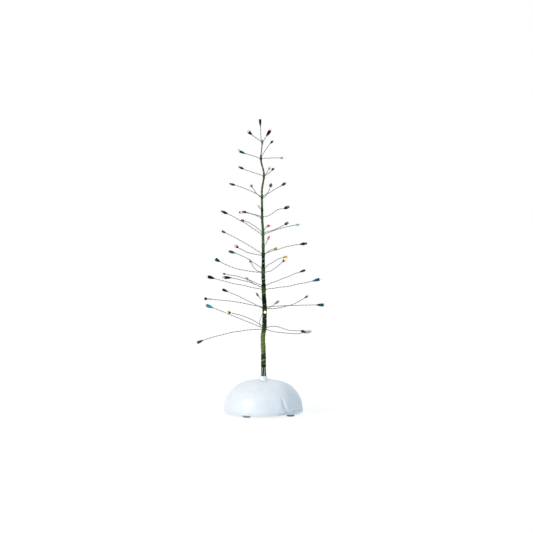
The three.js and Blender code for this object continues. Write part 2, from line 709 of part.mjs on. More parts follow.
const base = new THREE.Group();
base.add(meshOf("base_shell", baseShell(), white, 0.45));
base.add(meshOf("base_plate", basePlate(), white, 0.4));
base.add(meshOf("battery_door", batteryDoor(), white, 0.4));
base.add(meshOf("battery_cell_1", cell(1), 0x3c5f86, 0.35, 0.3));
base.add(meshOf("battery_cell_2", cell(-1), 0x3c5f86, 0.35, 0.3));
base.add(meshOf("positive_terminal", terminal(-cellSide), nickel, 0.35, 0.9));
base.add(meshOf("negative_terminal", terminal(cellSide).add(springAt(-1, cellSide)), nickel, 0.35, 0.9));
base.add(meshOf("bridge_contact", bridgeContact(), nickel, 0.35, 0.9));
base.add(meshOf("switch_body", switchBody(), 0x26282a, 0.5));
base.add(meshOf("switch_knob", switchKnob(), 0x1b1c1e, 0.5));
footPlaces.forEach((place, i) => base.add(meshOf("foot_" + (i + 1), foot(place), rubber, 0.8)));
screwPlaces.forEach((place, i) => base.add(meshOf("plate_screw_" + (i + 1), screw(place), steel, 0.4, 0.9)));
base.add(meshOf("stem_retainer", stemRetainer(), steel, 0.35, 0.9));
const leadColors = { lead_red: 0xa8282a, lead_switched: 0xa8282a, lead_black: 0x202224 };
for (const [name, route] of Object.entries(leadRoutes))
  base.add(meshOf(name, lead(route), leadColors[name], 0.5));

const part = new THREE.Group();
part.add(base, tree);
export default part;
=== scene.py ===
import math
from functools import partial

import bpy
from mathutils import Matrix, Vector, noise


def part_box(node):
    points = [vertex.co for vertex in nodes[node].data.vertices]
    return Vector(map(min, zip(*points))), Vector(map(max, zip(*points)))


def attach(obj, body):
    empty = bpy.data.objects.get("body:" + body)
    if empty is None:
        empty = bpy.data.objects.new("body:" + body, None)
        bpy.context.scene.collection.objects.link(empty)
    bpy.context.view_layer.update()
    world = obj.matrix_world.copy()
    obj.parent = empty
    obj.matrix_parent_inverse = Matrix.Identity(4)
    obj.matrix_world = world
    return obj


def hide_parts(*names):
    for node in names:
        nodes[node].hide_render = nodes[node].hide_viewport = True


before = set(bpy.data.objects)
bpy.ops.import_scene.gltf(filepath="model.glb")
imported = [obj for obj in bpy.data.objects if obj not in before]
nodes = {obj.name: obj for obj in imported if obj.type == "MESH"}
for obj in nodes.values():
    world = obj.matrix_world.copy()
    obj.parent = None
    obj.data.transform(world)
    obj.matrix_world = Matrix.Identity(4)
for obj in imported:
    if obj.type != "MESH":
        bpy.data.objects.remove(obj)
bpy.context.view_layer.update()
mm = 0.001
treeTurn = -13


def spot(x, y, z):
    # a place seen from the tree's front, turned into the part's frame
    return Matrix.Rotation(math.radians(treeTurn), 3, "Z") @ Vector((x, y, z)) * mm


def ringSpot(centre, reach, angle, z):
    # a place round the stem: centre is where the stem's middle is at that height
    return spot(centre[0] + reach * math.cos(angle), centre[1] + reach * math.sin(angle), z)


def mix(low, high, share):
    return low + (high - low) * share


def clip(value, low=0, high=1):
    return min(max(value, low), high)


# Camera
viewer = {"eye": (3, -1500, 189.5), "aim": (3, 0, 151.5), "lens": 98.97, "sensor": 36}
scene = bpy.context.scene
camera = bpy.data.objects.new("camera", bpy.data.cameras.new("camera"))
scene.collection.objects.link(camera)
camera.location = spot(*viewer["eye"])
sight = spot(*viewer["aim"]) - camera.location
camera.rotation_euler = sight.to_track_quat("-Z", "Y").to_euler()
camera.data.lens = viewer["lens"]
camera.data.sensor_width = viewer["sensor"]
camera.data.clip_start = 0.05
camera.data.clip_end = 40
scene.camera = camera
scene.view_settings.view_transform = "Standard"
print("camera is set")


# Materials
colorA, colorB, colorOut = 6, 7, 2  # the colour sockets of a Mix node


def paint(code):
    # an sRGB hex value as a linear colour
    channels = [int(code[i:i + 2], 16) / 255 for i in (1, 3, 5)]
    linear = [c / 12.92 if c <= 0.04045 else ((c + 0.055) / 1.055) ** 2.4 for c in channels]
    return (*linear, 1.0)


def addNode(tree, kind, inputs=None, stops=None, **settings):
    # each input is a plain value, a socket, or a node that gives its main output
    made = tree.nodes.new("ShaderNode" + kind)
    for name, value in settings.items():
        setattr(made, name, value)
    for name, value in (inputs or {}).items():
        if isinstance(value, bpy.types.Node):
            value = value.outputs[colorOut if value.bl_idname == "ShaderNodeMix" else 0]
        if isinstance(value, bpy.types.NodeSocket):
            tree.links.new(value, made.inputs[name])
        else:
            made.inputs[name].default_value = value
    if stops:
        elements = made.color_ramp.elements
        elements[0].position, elements[0].color = stops[0][0], paint(stops[0][1])
        elements[1].position, elements[1].color = stops[-1][0], paint(stops[-1][1])
        for place, code in stops[1:-1]:
            elements.new(place).color = paint(code)
    return made


def startTree(owner):
    # empties the node tree of a material or a world, and gives the function that adds to it
    owner.use_nodes = True
    owner.node_tree.nodes.clear()
    return partial(addNode, owner.node_tree)


def startMaterial(name):
    material = bpy.data.materials.new(name)
    add = startTree(material)
    return material, add, add("TexCoord").outputs["Object"]


def finishMaterial(material, color, rough, bump, surface, under=None):
    # rough is a pattern with the least and most roughness that it gives. Bump is a pattern with
    # its strength and its depth in millimetres, and it may lie on the normals of another under it
    add = partial(addNode, material.node_tree)
    pattern, least, most = rough
    height, strength, depth = bump
    relief = {"Height": height, "Strength": strength, "Distance": depth * mm}
    if under:
        relief["Normal"] = under
    roughness = add("MapRange", {"Value": pattern, "To Min": least, "To Max": most})
    shaded = add("BsdfPrincipled", {**surface, "Base Color": color, "Roughness": roughness,
                                    "Normal": add("Bump", relief)})
    add("OutputMaterial", {"Surface": shaded})
    return material


def lengthShare(add):
    # how far along its own length a place on the piece is, from the piece's map
    wrap = add("TexCoord").outputs["UV"]
    return add("SeparateXYZ", {"Vector": wrap}).outputs["Y"]


def snowAbs():
    # moulded ABS: a satin white, cool in colour, with the soft grain of a blasted mould, and faint
    # painted shade where its broad swells dip
    material, add, place = startMaterial("snowAbs")
    clouds = add("TexNoise", {"Vector": place, "Scale": 1 / (7 * mm), "Detail": 3})
    grain = add("TexNoise", {"Vector": place, "Scale": 1 / (0.55 * mm), "Detail": 2})
    # painted shade: the tone is a little darker and cooler where the swells dip
    tone = add("ValToRGB", {"Fac": clouds}, [(0.3, "#e9f2f9"), (0.7, "#eff6fb")])
    fine = add("ValToRGB", {"Fac": grain}, [(0.3, "#f1f4f6"), (0.6, "#ffffff")])
    color = add("Mix", {0: 0.7, colorA: tone, colorB: fine}, data_type="RGBA", blend_type="MULTIPLY")
    swell = add("Bump", {"Height": clouds, "Strength": 0.3, "Distance": 0.15 * mm})
    return finishMaterial(material, color, (grain, 0.36, 0.52), (grain, 0.3, 0.06), {"IOR": 1.53},
                          swell)


def mouldedPlastic(name, code, dark, roughness):
    # injection-moulded ABS: an even colour with a spark-eroded texture and faint flow marks
    material, add, place = startMaterial(name)
    flow = add("TexNoise", {"Vector": place, "Scale": 1 / (12 * mm), "Detail": 2})
    texture = add("TexNoise", {"Vector": place, "Scale": 1 / (0.3 * mm), "Detail": 2})
    color = add("ValToRGB", {"Fac": flow}, [(0.3, dark), (0.7, code)])
    return finishMaterial(material, color, (texture, roughness - 0.06, roughness + 0.1),
                          (texture, 0.25, 0.04), {"IOR": 1.53})


# The tape's colours, and the heights on the stem where they change, seen from below. Its darkest
# tones, night and knot, are the dark green tape deepened to near black by painted shadow
tapeZones = {
    "colors": {"umber": "#2e2a0c", "moss": "#4d642c", "olive": "#7c9751", "leaf": "#5a8045",
               "night": "#101d08", "pine": "#28401a", "knot": "#070d03", "pale": "#7b9070",
               "grey": "#8d978b"},
    "heights": [(25, "moss"), (50, "umber"), (56, "moss"), (59, "umber"), (62, "moss"),
                (66, "olive"), (80, "olive"), (85, "moss"), (92, "pine"), (102, "pine"),
                (109, "pine"), (114, "night"), (121, "night"), (125, "moss"), (128, "moss"),
                (132, "night"), (141, "pine"), (146, "leaf"), (152, "night"), (160, "night"),
                (175, "leaf"), (203, "leaf"), (209, "knot"), (214, "leaf"), (235, "moss"),
                (258, "moss"), (262, "pine"), (266, "pale"), (285, "grey")],
}


def tapeTone(add, place):
    # the tape's colour at each height, with painted shadow in its darkest bands
    heights = tapeZones["heights"]
    low, high = heights[0][0], heights[-1][0]
    level = add("SeparateXYZ", {"Vector": place}).outputs["Z"]
    share = add("MapRange", {"Value": level, "From Min": low * mm, "From Max": high * mm})
    stops = [((height - low) / (high - low), tapeZones["colors"][tone]) for height, tone in heights]
    return add("ValToRGB", {"Fac": share}, stops)


def stemTape():
    # green cloth-backed tape wound up the wires: each turn's edge shows by painted shade in its step
    # and a painted highlight on its rise, and pale patches on the raised edges are partly painted
    # glint and partly wear
    material, add, place = startMaterial("stemTape")
    wrap = add("SeparateXYZ", {"Vector": add("TexCoord").outputs["UV"]})
    climb = add("Math", {0: wrap.outputs["Y"], 1: wrap.outputs["X"]}, operation="SUBTRACT")
    lap = add("Math", {0: climb}, operation="FRACT")
    # painted shade at the step where each lap's edge lies, and a painted highlight just before it
    edge = add("ValToRGB", {"Fac": lap},
               [(0.0, "#5c5c5c"), (0.07, "#8a8a8a"), (0.16, "#d9d9d9"), (0.8, "#f4f4f4"),
                (0.93, "#ffffff"), (1.0, "#8c8c8c")])
    streaks = add("Mapping", {"Vector": place, "Scale": (1, 1, 0.25)})
    fibre = add("TexNoise", {"Vector": streaks, "Scale": 1 / (0.6 * mm), "Detail": 4})
    worn = add("ValToRGB", {"Fac": fibre}, [(0.32, "#7d7d7d"), (0.66, "#ffffff")])
    color = tapeTone(add, place)
    for share, layer in ((0.85, edge), (0.55, worn)):
        color = add("Mix", {0: share, colorA: color, colorB: layer}, data_type="RGBA",
                    blend_type="MULTIPLY")
    # paler patches near each lap's raised edge: partly painted glint, partly wear
    patch = add("TexNoise", {"Vector": place, "Scale": 1 / (3.5 * mm), "Detail": 3})
    lapGlintAndWear = add("MapRange", {"Value": lap, "From Min": 0.78, "From Max": 0.94})
    patches = add("MapRange", {"Value": patch, "From Min": 0.48, "From Max": 0.64})
    light = add("Math", {0: lapGlintAndWear, 1: patches}, operation="MULTIPLY")
    color = add("Mix", {0: light, colorA: color, colorB: paint("#b6c2a8")}, data_type="RGBA")
    return finishMaterial(material, color, (fibre, 0.6, 0.85), (fibre, 0.5, 0.12),
                          {"IOR": 1.48, "Specular IOR Level": 0.06})


def bindingTape():
    # the same tape, stretched round the stem where wires leave it, with painted shade where its pleats
    # dip
    material, add, place = startMaterial("bindingTape")
    flat = add("Mapping", {"Vector": place, "Scale": (0.4, 0.4, 1)})
    pleats = add("TexNoise", {"Vector": flat, "Scale": 1 / (0.45 * mm), "Detail": 3})
    # painted shade: darker where the pleats dip
    dark = add("ValToRGB", {"Fac": pleats}, [(0.34, "#5a5a5a"), (0.62, "#f2f2f2")])
    color = add("Mix", {0: 0.75, colorA: tapeTone(add, place), colorB: dark}, data_type="RGBA",
                blend_type="MULTIPLY")
    return finishMaterial(material, color, (pleats, 0.6, 0.85), (pleats, 0.5, 0.15),
                          {"IOR": 1.48, "Specular IOR Level": 0.06})


def pvcWire(name, code, dust, roughness):
    # extruded PVC insulation: smooth, with a slight sheen and dull rubbed stretches
    material, add, place = startMaterial(name)
    rubbed = add("TexNoise", {"Vector": place, "Scale": 1 / (4 * mm), "Detail": 3})
    fine = add("TexNoise", {"Vector": place, "Scale": 1 / (0.25 * mm), "Detail": 2})
    color = add("ValToRGB", {"Fac": rubbed}, [(0.35, code), (0.68, dust)])
    return finishMaterial(material, color, (rubbed, roughness - 0.08, roughness + 0.14),
                          (fine, 0.2, 0.02), {"IOR": 1.53, "Specular IOR Level": 0.25})


def shrinkTube(name, tail, middle, mouth):
    # heat-shrunk polyolefin: glossy and finely puckered, with a colour for the tail, the middle and
    # the mouth; on the teal sleeves the lighter middle is a painted highlight
    material, add, place = startMaterial(name)
    pucker = add("TexNoise", {"Vector": place, "Scale": 1 / (0.9 * mm), "Detail": 3})
    wander = add("Math", {0: pucker, 1: 0.3, 2: -0.15}, operation="MULTIPLY_ADD")
    share = add("Math", {0: lengthShare(add), 1: wander}, operation="ADD")
    color = add("ValToRGB", {"Fac": share},
                [(0.1, tail), (0.45, middle), (0.72, middle), (0.95, mouth)])
    return finishMaterial(material, color, (pucker, 0.22, 0.45), (pucker, 0.45, 0.12),
                          {"IOR": 1.5, "Specular IOR Level": 0.09})


def lacqueredGlass(name, code, sleeveShade, glow):
    # a rice bulb dipped in clear lacquer: tinted glass, darker by the sleeve, where the shade of the
    # sleeve's mouth is painted
    material, add, place = startMaterial(name)
    runs = add("TexNoise", {"Vector": place, "Scale": 1 / (0.8 * mm), "Detail": 1})
    share = add("Math", {0: runs, 1: 0.35, 2: lengthShare(add)}, operation="MULTIPLY_ADD")
    # painted shade: darker by the sleeve, paler towards the tip
    color = add("ValToRGB", {"Fac": share}, [(0.2, sleeveShade), (0.85, code)])
    glass = add("BsdfPrincipled", {
        "Base Color": color, "IOR": 1.5, "Roughness": 0.12, "Transmission Weight": 0.6,
        "Coat Weight": 0.2, "Emission Color": paint(code), "Emission Strength": glow})
    add("OutputMaterial", {"Surface": glass})
    return material


def metal(name, code, dull, roughness, grainSize):
    # plated steel: bright, with the fine lines of rolling or turning
    material, add, place = startMaterial(name)
    stretched = add("Mapping", {"Vector": place, "Scale": (1, 0.15, 1)})
    lines = add("TexNoise", {"Vector": stretched, "Scale": 1 / (grainSize * mm), "Detail": 3})
    color = add("ValToRGB", {"Fac": lines}, [(0.3, dull), (0.7, code)])
    return finishMaterial(material, color, (lines, roughness - 0.08, roughness + 0.12),
                          (lines, 0.2, 0.02), {"Metallic": 1.0})


def footRubber():
    # moulded rubber: matt grey, dusty where it has been handled
    material, add, place = startMaterial("footRubber")
    dust = add("TexNoise", {"Vector": place, "Scale": 1 / (1.8 * mm), "Detail": 4})
    pores = add("TexVoronoi", {"Vector": place, "Scale": 1 / (0.35 * mm)})
    color = add("ValToRGB", {"Fac": dust}, [(0.35, "#a4aeb5"), (0.75, "#c6ced3")])
    return finishMaterial(material, color, (dust, 0.65, 0.9), (pores, 0.3, 0.05), {"IOR": 1.52})


def cellJacket():
    # a shrink film printed in two plain colours round a steel can, with no lettering
    material, add, place = startMaterial("cellJacket")
    grain = add("TexNoise", {"Vector": place, "Scale": 1 / (0.8 * mm), "Detail": 3})
    share = add("Math", {0: grain, 1: 0.01, 2: lengthShare(add)}, operation="MULTIPLY_ADD")
    color = add("ValToRGB", {"Fac": share},
                [(0.0, "#2f5573"), (0.7, "#2f5573"), (0.71, "#b98546"), (1.0, "#c08f52")])
    film = add("BsdfPrincipled", {"Base Color": color, "IOR": 1.5, "Roughness": 0.28,
                                  "Metallic": 0.35, "Coat Weight": 0.4})
    add("OutputMaterial", {"Surface": film})
    return material


def plainMaterial(name, surface):
    material, add, _ = startMaterial(name)
    add("OutputMaterial", {"Surface": add("BsdfPrincipled", surface)})
    return material


snow = snowAbs()
platePlastic = mouldedPlastic("plateAbs", "#eef5fa", "#e6eff6", 0.42)
switchPlastic = mouldedPlastic("switchNylon", "#232628", "#191b1d", 0.5)
tape = stemTape()
binding = bindingTape()
wire = pvcWire("greyPvc", "#545b54", "#747b73", 0.5)
strandTones = [pvcWire("strandPale", "#7d9080", "#a6b3a3", 0.55),
               pvcWire("strandGreen", "#28402a", "#3c5a40", 0.55),
               pvcWire("strandDark", "#0b140a", "#182414", 0.55)]
redPvc = pvcWire("redPvc", "#a3262a", "#b8484a", 0.4)
blackPvc = pvcWire("blackPvc", "#1c1e20", "#33373a", 0.4)
nickel = metal("nickel", "#cdcabf", "#a9a69b", 0.3, 0.4)
zinc = metal("zinc", "#c3c8cb", "#9aa0a4", 0.34, 0.3)
rubber = footRubber()
jacket = cellJacket()
# drawn tungsten wire, which glows a little, and a drop of clear hot-melt glue
filamentHot = plainMaterial("filament", {
    "Base Color": paint("#7d6a52"), "Metallic": 1.0, "Roughness": 0.3,
    "Emission Color": paint("#ffd9a0"), "Emission Strength": 2.5})
clearGlue = plainMaterial("clearGlue", {
    "Base Color": paint("#c3cfd0"), "Roughness": 0.08, "IOR": 1.47, "Transmission Weight": 0.7})

# A sleeve's tail, where it has shrunk onto the wires, its middle and its mouth
sleeveTones = {
    # painted light: the teal, navy and black tones are one dark blue-green tube, lighter copies
    # painted lit and darker copies painted shade
    "black": ("#010203", "#020406", "#041016"), "navy": ("#02070c", "#03172a", "#052a3a"),
    "teal": ("#01161c", "#02525f", "#013442"), "darkTeal": ("#020c0f", "#052a30", "#041c22"),
    "tealPaintedShade": ("#010203", "#02080c", "#03384a"), "deepTeal": ("#0a7585", "#02697c", "#021238"),
    "tealPaintedLit": ("#0c8796", "#0495a6", "#046c7e"), "pineTeal": ("#021c1e", "#064a4c", "#043436"),
    "greyTeal": ("#14262c", "#284a54", "#153642"), "smoke": ("#aeb6b7", "#c3cacb", "#a2aaab"),
    "grey": ("#343b3d", "#50595c", "#3a4245"), "pale": ("#b4c1c7", "#97a8b0", "#76878f"),
    "paleTeal": ("#8fb9bf", "#9ccdd4", "#72a6ae"), "moss": ("#2b2f1c", "#4b5232", "#666c40"),
    "wine": ("#10070a", "#42151d", "#551a26"), "cream": ("#b9ac95", "#f0ead2", "#f4ecc6"),
    "brick": ("#9a5661", "#c0707b", "#cf8088"), "tan": ("#8f8064", "#bda679", "#c4ad72"),
    "amber": ("#c18a58", "#f3bd84", "#eda468"), "fawn": ("#c9b5a6", "#e8d5c5", "#dfc3ac"),
    "blush": ("#d9bcbc", "#eed9d8", "#cfa9a9"),
}
sleeveSkins = {name: shrinkTube("sleeve_" + name, *tones) for name, tones in sleeveTones.items()}

# A lamp's glass at its tip and by the sleeve, where painted shade from the sleeve's mouth darkens it,
# and how brightly it is lit
bulbTones = {
    "pink": ("#fbe6ee", "#f0a8c4", 0.2), "rose": ("#f8c3cd", "#dd6a86", 0.2),
    "peach": ("#fbece0", "#eec3a2", 0.2), "apricot": ("#f9dcc3", "#e8a876", 0.25),
    "orange": ("#fcdcb4", "#ee9f62", 0.4), "gold": ("#fff2a6", "#a8861c", 1.1),
    "ice": ("#c9d8e0", "#9db4c0", 0.1), "blush": ("#fbf2f2", "#efdcde", 0.2),
    "yellow": ("#f6f0cc", "#d6c886", 0.2), "lemon": ("#f9ee94", "#e0c43c", 0.4),
    "clear": ("#f3f6f5", "#d3dcdb", 0.15), "mint": ("#e9f3ee", "#b7cfc4", 0.1),
    "magenta": ("#f2b3d0", "#ab1f5e", 0.15), "fuchsia": ("#f6c8dc", "#c0357a", 0.2),
    "cherry": ("#f09cb0", "#c8395a", 0.2), "scarlet": ("#f6c9ae", "#e07a56", 0.3),
    "salmon": ("#f9d8cf", "#e29c8c", 0.2), "cyan": ("#cfe8ec", "#7fb9c4", 0.1),
    "leaf": ("#b5dcc6", "#3f8d6a", 0.1), "olive": ("#d8d9a2", "#8c8f4e", 0.15),
    "straw": ("#f2f1e2", "#c9c9a0", 0.15), "purple": ("#8a5f9c", "#3f1f52", 0.05),
    "deepTeal": ("#103f46", "#041f25", 0.02), "pine": ("#2c4244", "#0e1c1e", 0.02),
    "night": ("#123038", "#051318", 0.02), "umber": ("#241615", "#0d0606", 0.02),
    "maroon": ("#561a2a", "#230710", 0.03), "mauve": ("#bd7c90", "#8c4059", 0.03),
    "russet": ("#a98d80", "#6b4438", 0.05), "lilac": ("#f3e6f4", "#d6b9da", 0.15),
}
bulbSkins = {name: lacqueredGlass("bulb_" + name, *tones) for name, tones in bulbTones.items()}
print("materials are mixed")


# Modelling
def onlyThis(piece):
    bpy.ops.object.select_all(action="DESELECT")
    piece.select_set(True)
    bpy.context.view_layer.objects.active = piece


def boxOf(node):
    # the two corners of a CAD solid's box, in millimetres
    return [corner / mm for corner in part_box(node)]


def copyPiece(model, name):
    piece = model.copy()
    piece.data = model.data.copy()
    piece.name = name
    scene.collection.objects.link(piece)
    return piece


def raiseProfile(name, stations, sides):
    # a ring at the first station, extruded through the rest. A station is a radius and a height
    bpy.ops.object.select_all(action="DESELECT")
    radius, height = stations[0]
    bpy.ops.mesh.primitive_circle_add(vertices=sides, radius=radius * mm,
                                      location=(0, 0, height * mm), calc_uvs=False)
    piece = bpy.context.object
    piece.name = name
    bpy.ops.object.mode_set(mode="EDIT")
    bpy.ops.mesh.select_all(action="SELECT")
    for nextRadius, nextHeight in stations[1:]:
        step = (0, 0, (nextHeight - height) * mm)
        bpy.ops.mesh.extrude_region_move(TRANSFORM_OT_translate={"value": step})
        grow = nextRadius / radius
        bpy.ops.transform.resize(value=(grow, grow, 1), center_override=(0, 0, 0))
        radius, height = nextRadius, nextHeight
    bpy.ops.mesh.select_all(action="SELECT")
    bpy.ops.mesh.remove_doubles(threshold=0.002 * mm)
    bpy.ops.mesh.fill_holes(sides=0)
    bpy.ops.mesh.normals_make_consistent(inside=False)
    bpy.ops.object.mode_set(mode="OBJECT")
    bpy.ops.object.transform_apply(location=True, rotation=True, scale=True)
    return piece


def addBlock(name, low, high, bevel):
    # a block between two corners, its edges rounded by a bevel
    bpy.ops.object.select_all(action="DESELECT")
    middle = [(a + b) / 2 * mm for a, b in zip(low, high)]
    bpy.ops.mesh.primitive_cube_add(size=1, location=middle, calc_uvs=False)
    piece = bpy.context.object
    piece.name = name
    bpy.ops.object.mode_set(mode="EDIT")
    bpy.ops.mesh.select_all(action="SELECT")
    size = [(b - a) * mm for a, b in zip(low, high)]
    bpy.ops.transform.resize(value=size, center_override=middle)
    if bevel:
        bpy.ops.mesh.bevel(offset=bevel * mm, segments=2, affect="EDGES")
    bpy.ops.object.mode_set(mode="OBJECT")
    bpy.ops.object.transform_apply(location=True, rotation=True, scale=True)
    return piece


def joinPieces(name, pieces):
    bpy.ops.object.select_all(action="DESELECT")
    for piece in pieces:
        piece.select_set(True)
    bpy.context.view_layer.objects.active = pieces[0]
    bpy.ops.object.join()
    pieces[0].name = name
    return pieces[0]


def useModifier(piece, kind, **settings):
    onlyThis(piece)
    bpy.ops.object.modifier_add(type=kind)
    modifier = piece.modifiers[-1]
    for name, value in settings.items():
        setattr(modifier, name, value)
    bpy.ops.object.modifier_apply(modifier=modifier.name)


def smooth(piece, angle=38):
    onlyThis(piece)
    bpy.ops.object.shade_smooth_by_angle(angle=math.radians(angle))


def giveHeightMap(piece, length):
    # a map whose second number is the share of the length
    wrap = piece.data.uv_layers.new(name="wrap")
    for loop in piece.data.loops:
        place = piece.data.vertices[loop.vertex_index].co
        wrap.data[loop.index].uv = (0.5, place.z / mm / length)


def finishPiece(piece, replaced=(), body="root", *, skins):
    chosen = [min(face.material_index, len(skins) - 1) for face in piece.data.polygons]
    piece.data.materials.clear()
    for skin in skins:
        piece.data.materials.append(skin)
    piece.data.polygons.foreach_set("material_index", chosen)
    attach(piece, body)
    if replaced:
        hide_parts(*replaced)


def refinedCopy(node, name, bevel=0.0, angle=38):
    # a CAD solid taken over, merged, and its moulded edges rounded
    piece = copyPiece(nodes[node], name)
    piece.parent = None
    for key in list(piece.keys()):
        del piece[key]
    onlyThis(piece)
    bpy.ops.object.mode_set(mode="EDIT")
    bpy.ops.mesh.select_all(action="SELECT")
    bpy.ops.mesh.remove_doubles(threshold=0.003 * mm)
    bpy.ops.mesh.dissolve_limited(angle_limit=math.radians(0.5))
    bpy.ops.object.mode_set(mode="OBJECT")
    if bevel:
        useModifier(piece, "BEVEL", width=bevel * mm, segments=2, limit_method="ANGLE",
                    angle_limit=math.radians(42))
    smooth(piece, angle)
    return piece


def meshPiece(name, points, faces):
    mesh = bpy.data.meshes.new(name)
    mesh.from_pydata(points, [], faces)
    mesh.update()
    piece = bpy.data.objects.new(name, mesh)
    scene.collection.objects.link(piece)
    return piece


def ringFaces(count, sides, offset=0):
    # the faces of a tube through rings of points, and its two ends, which come last
    faces = []
    for i in range(count - 1):
        for k in range(sides):
            a, b = offset + i * sides + k, offset + i * sides + (k + 1) % sides
            faces.append((a, b, b + sides, a + sides))
    end = offset + (count - 1) * sides
    faces.append(tuple(offset + k for k in reversed(range(sides))))
    faces.append(tuple(end + k for k in range(sides)))
    return faces


def sidesAlong(path):
    # at each point two sideways directions that don't twist along the path
    last = len(path) - 1
    ways = [(path[min(i + 1, last)] - path[max(i - 1, 0)]).normalized() for i in range(last + 1)]
    side = ways[0].orthogonal().normalized()
    found = []
    for way in ways:
        side = (side - way * side.dot(way)).normalized()
        found.append((side, way.cross(side)))
    return found


def sweepAll(name, rods, sides):
    # round rods along paths as one piece, each a path, a radius and a material's index
    points, faces, skins = [], [], []
    for path, radius, skin in rods:
        found = ringFaces(len(path), sides, len(points))
        for place, (side, other) in zip(path, sidesAlong(path)):
            for k in range(sides):
                angle = math.tau * k / sides
                points.append(place + (side * math.cos(angle) + other * math.sin(angle)) * radius)
        faces += found
        skins += [skin] * len(found)
    piece = meshPiece(name, points, faces)
    piece.data.polygons.foreach_set("material_index", skins)
    piece.data.polygons.foreach_set("use_smooth", [len(face) == 4 for face in faces])
    return piece


# Snow mound
mound = {
    "radius": 40.56,
    "height": 30.5,
    "exponent": 2.4,
    "wall": 2,
    "rim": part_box("base_shell")[0].z / mm - 0.14,  # almost down on the plate
    "sides": 288,
    "rings": 60,
    "innerRings": 13,
    "dipRadius": 7.5,
    "innerDipRadius": 5.7,
    "collarRadius": 4.2,  # the crown's hollow acts from here out, and this far under the crown
    "crownSpan": 3,
    # radii and heights over the crown: the dip, the collar and the stem's hole through it
    "collar": [(6.6, -0.34), (5.9, -0.46), (5.3, -0.55), (4.8, -0.55), (4.35, -0.35), (4.05, 0.1),
               (3.92, 0.8), (3.78, 2.2), (3.66, 3.1), (3.58, 3.45), (3.42, 3.6), (2.95, 3.6),
               (2.7, 3.4), (2.7, -1.9), (2.8, -2)],
    "waves": [(3, 1, 1), (5, 2.4, 0.6)],  # how many round the mound, where they start, how high
    "waveDepth": 0.45,
    "waveSpan": 1.15,
    "lumps": 0.14,
    "lumpSize": 9,
    "lumpMean": 0.4,
    "fadeOut": 4,  # the hollows and lumps fade towards the dip and down to the rim
    "fadeUp": 3,
    # flat places down to the rim, and further hollows over it: bearing, share of the height,
    # width either side, share spanned, depth
    "facets": [(-41, 0.3, 14, 13, 0.34, 2.4), (-43, 0.02, 15, 22, 0.12, 0.5)],
    "hollows": [(-43, 0.75, 13, 20, 0.2, 1.5), (-10, 0.63, 24, 30, 0.22, 0.7),
                (167, 0.63, 45, 45, 0.22, 1.0), (-95, 0.12, 22, 22, 0.16, 0.25),
                (-150, 0.35, 20, 20, 0.3, 0.5), (40, 0.4, 18, 18, 0.35, 0.8),
                (110, 0.3, 16, 16, 0.3, 0.7)],
    "crownHollow": (-58, 6.5, 60, 5, 1.3),  # bearing, radius, width, breadth and depth
}
# The crease in front, where two drifts meet. Its line starts at a bearing, bulges by the sway
# halfway up and leans at the top. Each flank narrows until halfway up, and runs out softly
# between two shares of its width
valley = {
    "bearing": -65,
    "sway": -8,
    "lean": 10,
    "depth": 2.1,
    "left": 7,
    "right": 3,
    "narrowing": 0.6,
    "softFrom": 0.85,
    "softTo": 1.18,
    "footDepth": 0.7,  # its depth at the foot, as a share, and the height that deepens it by one
    "deepening": 16,
    "fadeFrom": 0.25,  # the share of the height where it starts to fade, and the share it takes
    "fadeSpan": 0.3,
}


def moundPoint(share, radius, height):
    angle = share * math.pi / 2
    power = 2 / mound["exponent"]
    return radius * math.cos(angle) ** power, mound["rim"] + height * math.sin(angle) ** power


def bearingFrom(centre, bearing):
    return (bearing - centre + 540) % 360 - 180


def pressedIn(bearing, z):
    # how far the crease and the broad waves of the snow press the wall in
    up = clip((z - mound["rim"]) / mound["height"])
    line = valley["bearing"] + valley["sway"] * math.sin(up * math.pi) + valley["lean"] * up ** 2.5
    off = bearingFrom(line, bearing)
    off = abs(off) / (valley["left" if off < 0 else "right"]
                      * (1 - valley["narrowing"] * min(1, up / 0.5)))
    start, end = valley["softFrom"], valley["softTo"]
    wedge = 1 - off if off < start else max(0, end - off) ** 2 * (1 - start) / (end - start) ** 2
    share = min(1, valley["footDepth"] + (z - mound["rim"]) / valley["deepening"])
    share *= 1 - clip((up - valley["fadeFrom"]) / valley["fadeSpan"])
    turn = math.radians(bearing)
    waves = sum(size * math.sin(count * turn + begin) for count, begin, size in mound["waves"])
    highest = sum(wave[-1] for wave in mound["waves"])
    swell = math.sin(min(1, up * mound["waveSpan"]) * math.pi)
    return valley["depth"] * share * wedge + mound["waveDepth"] * (1 + waves / highest) * swell


def hollowsAt(hollows, bearing, z):
    up = (z - mound["rim"]) / mound["height"]
    depth = 0
    for centre, level, left, right, span, most in hollows:
        off = bearingFrom(centre, bearing)
        off /= left if off < 0 else right
        depth += most * math.exp(-off * off - ((up - level) / span) ** 2)
    return depth


def crownHollow(bearing, radius):
    centre, reach, width, breadth, depth = mound["crownHollow"]
    off = bearingFrom(centre, bearing) / width
    return depth * math.exp(-off ** 2 - ((radius - reach) / breadth) ** 2)


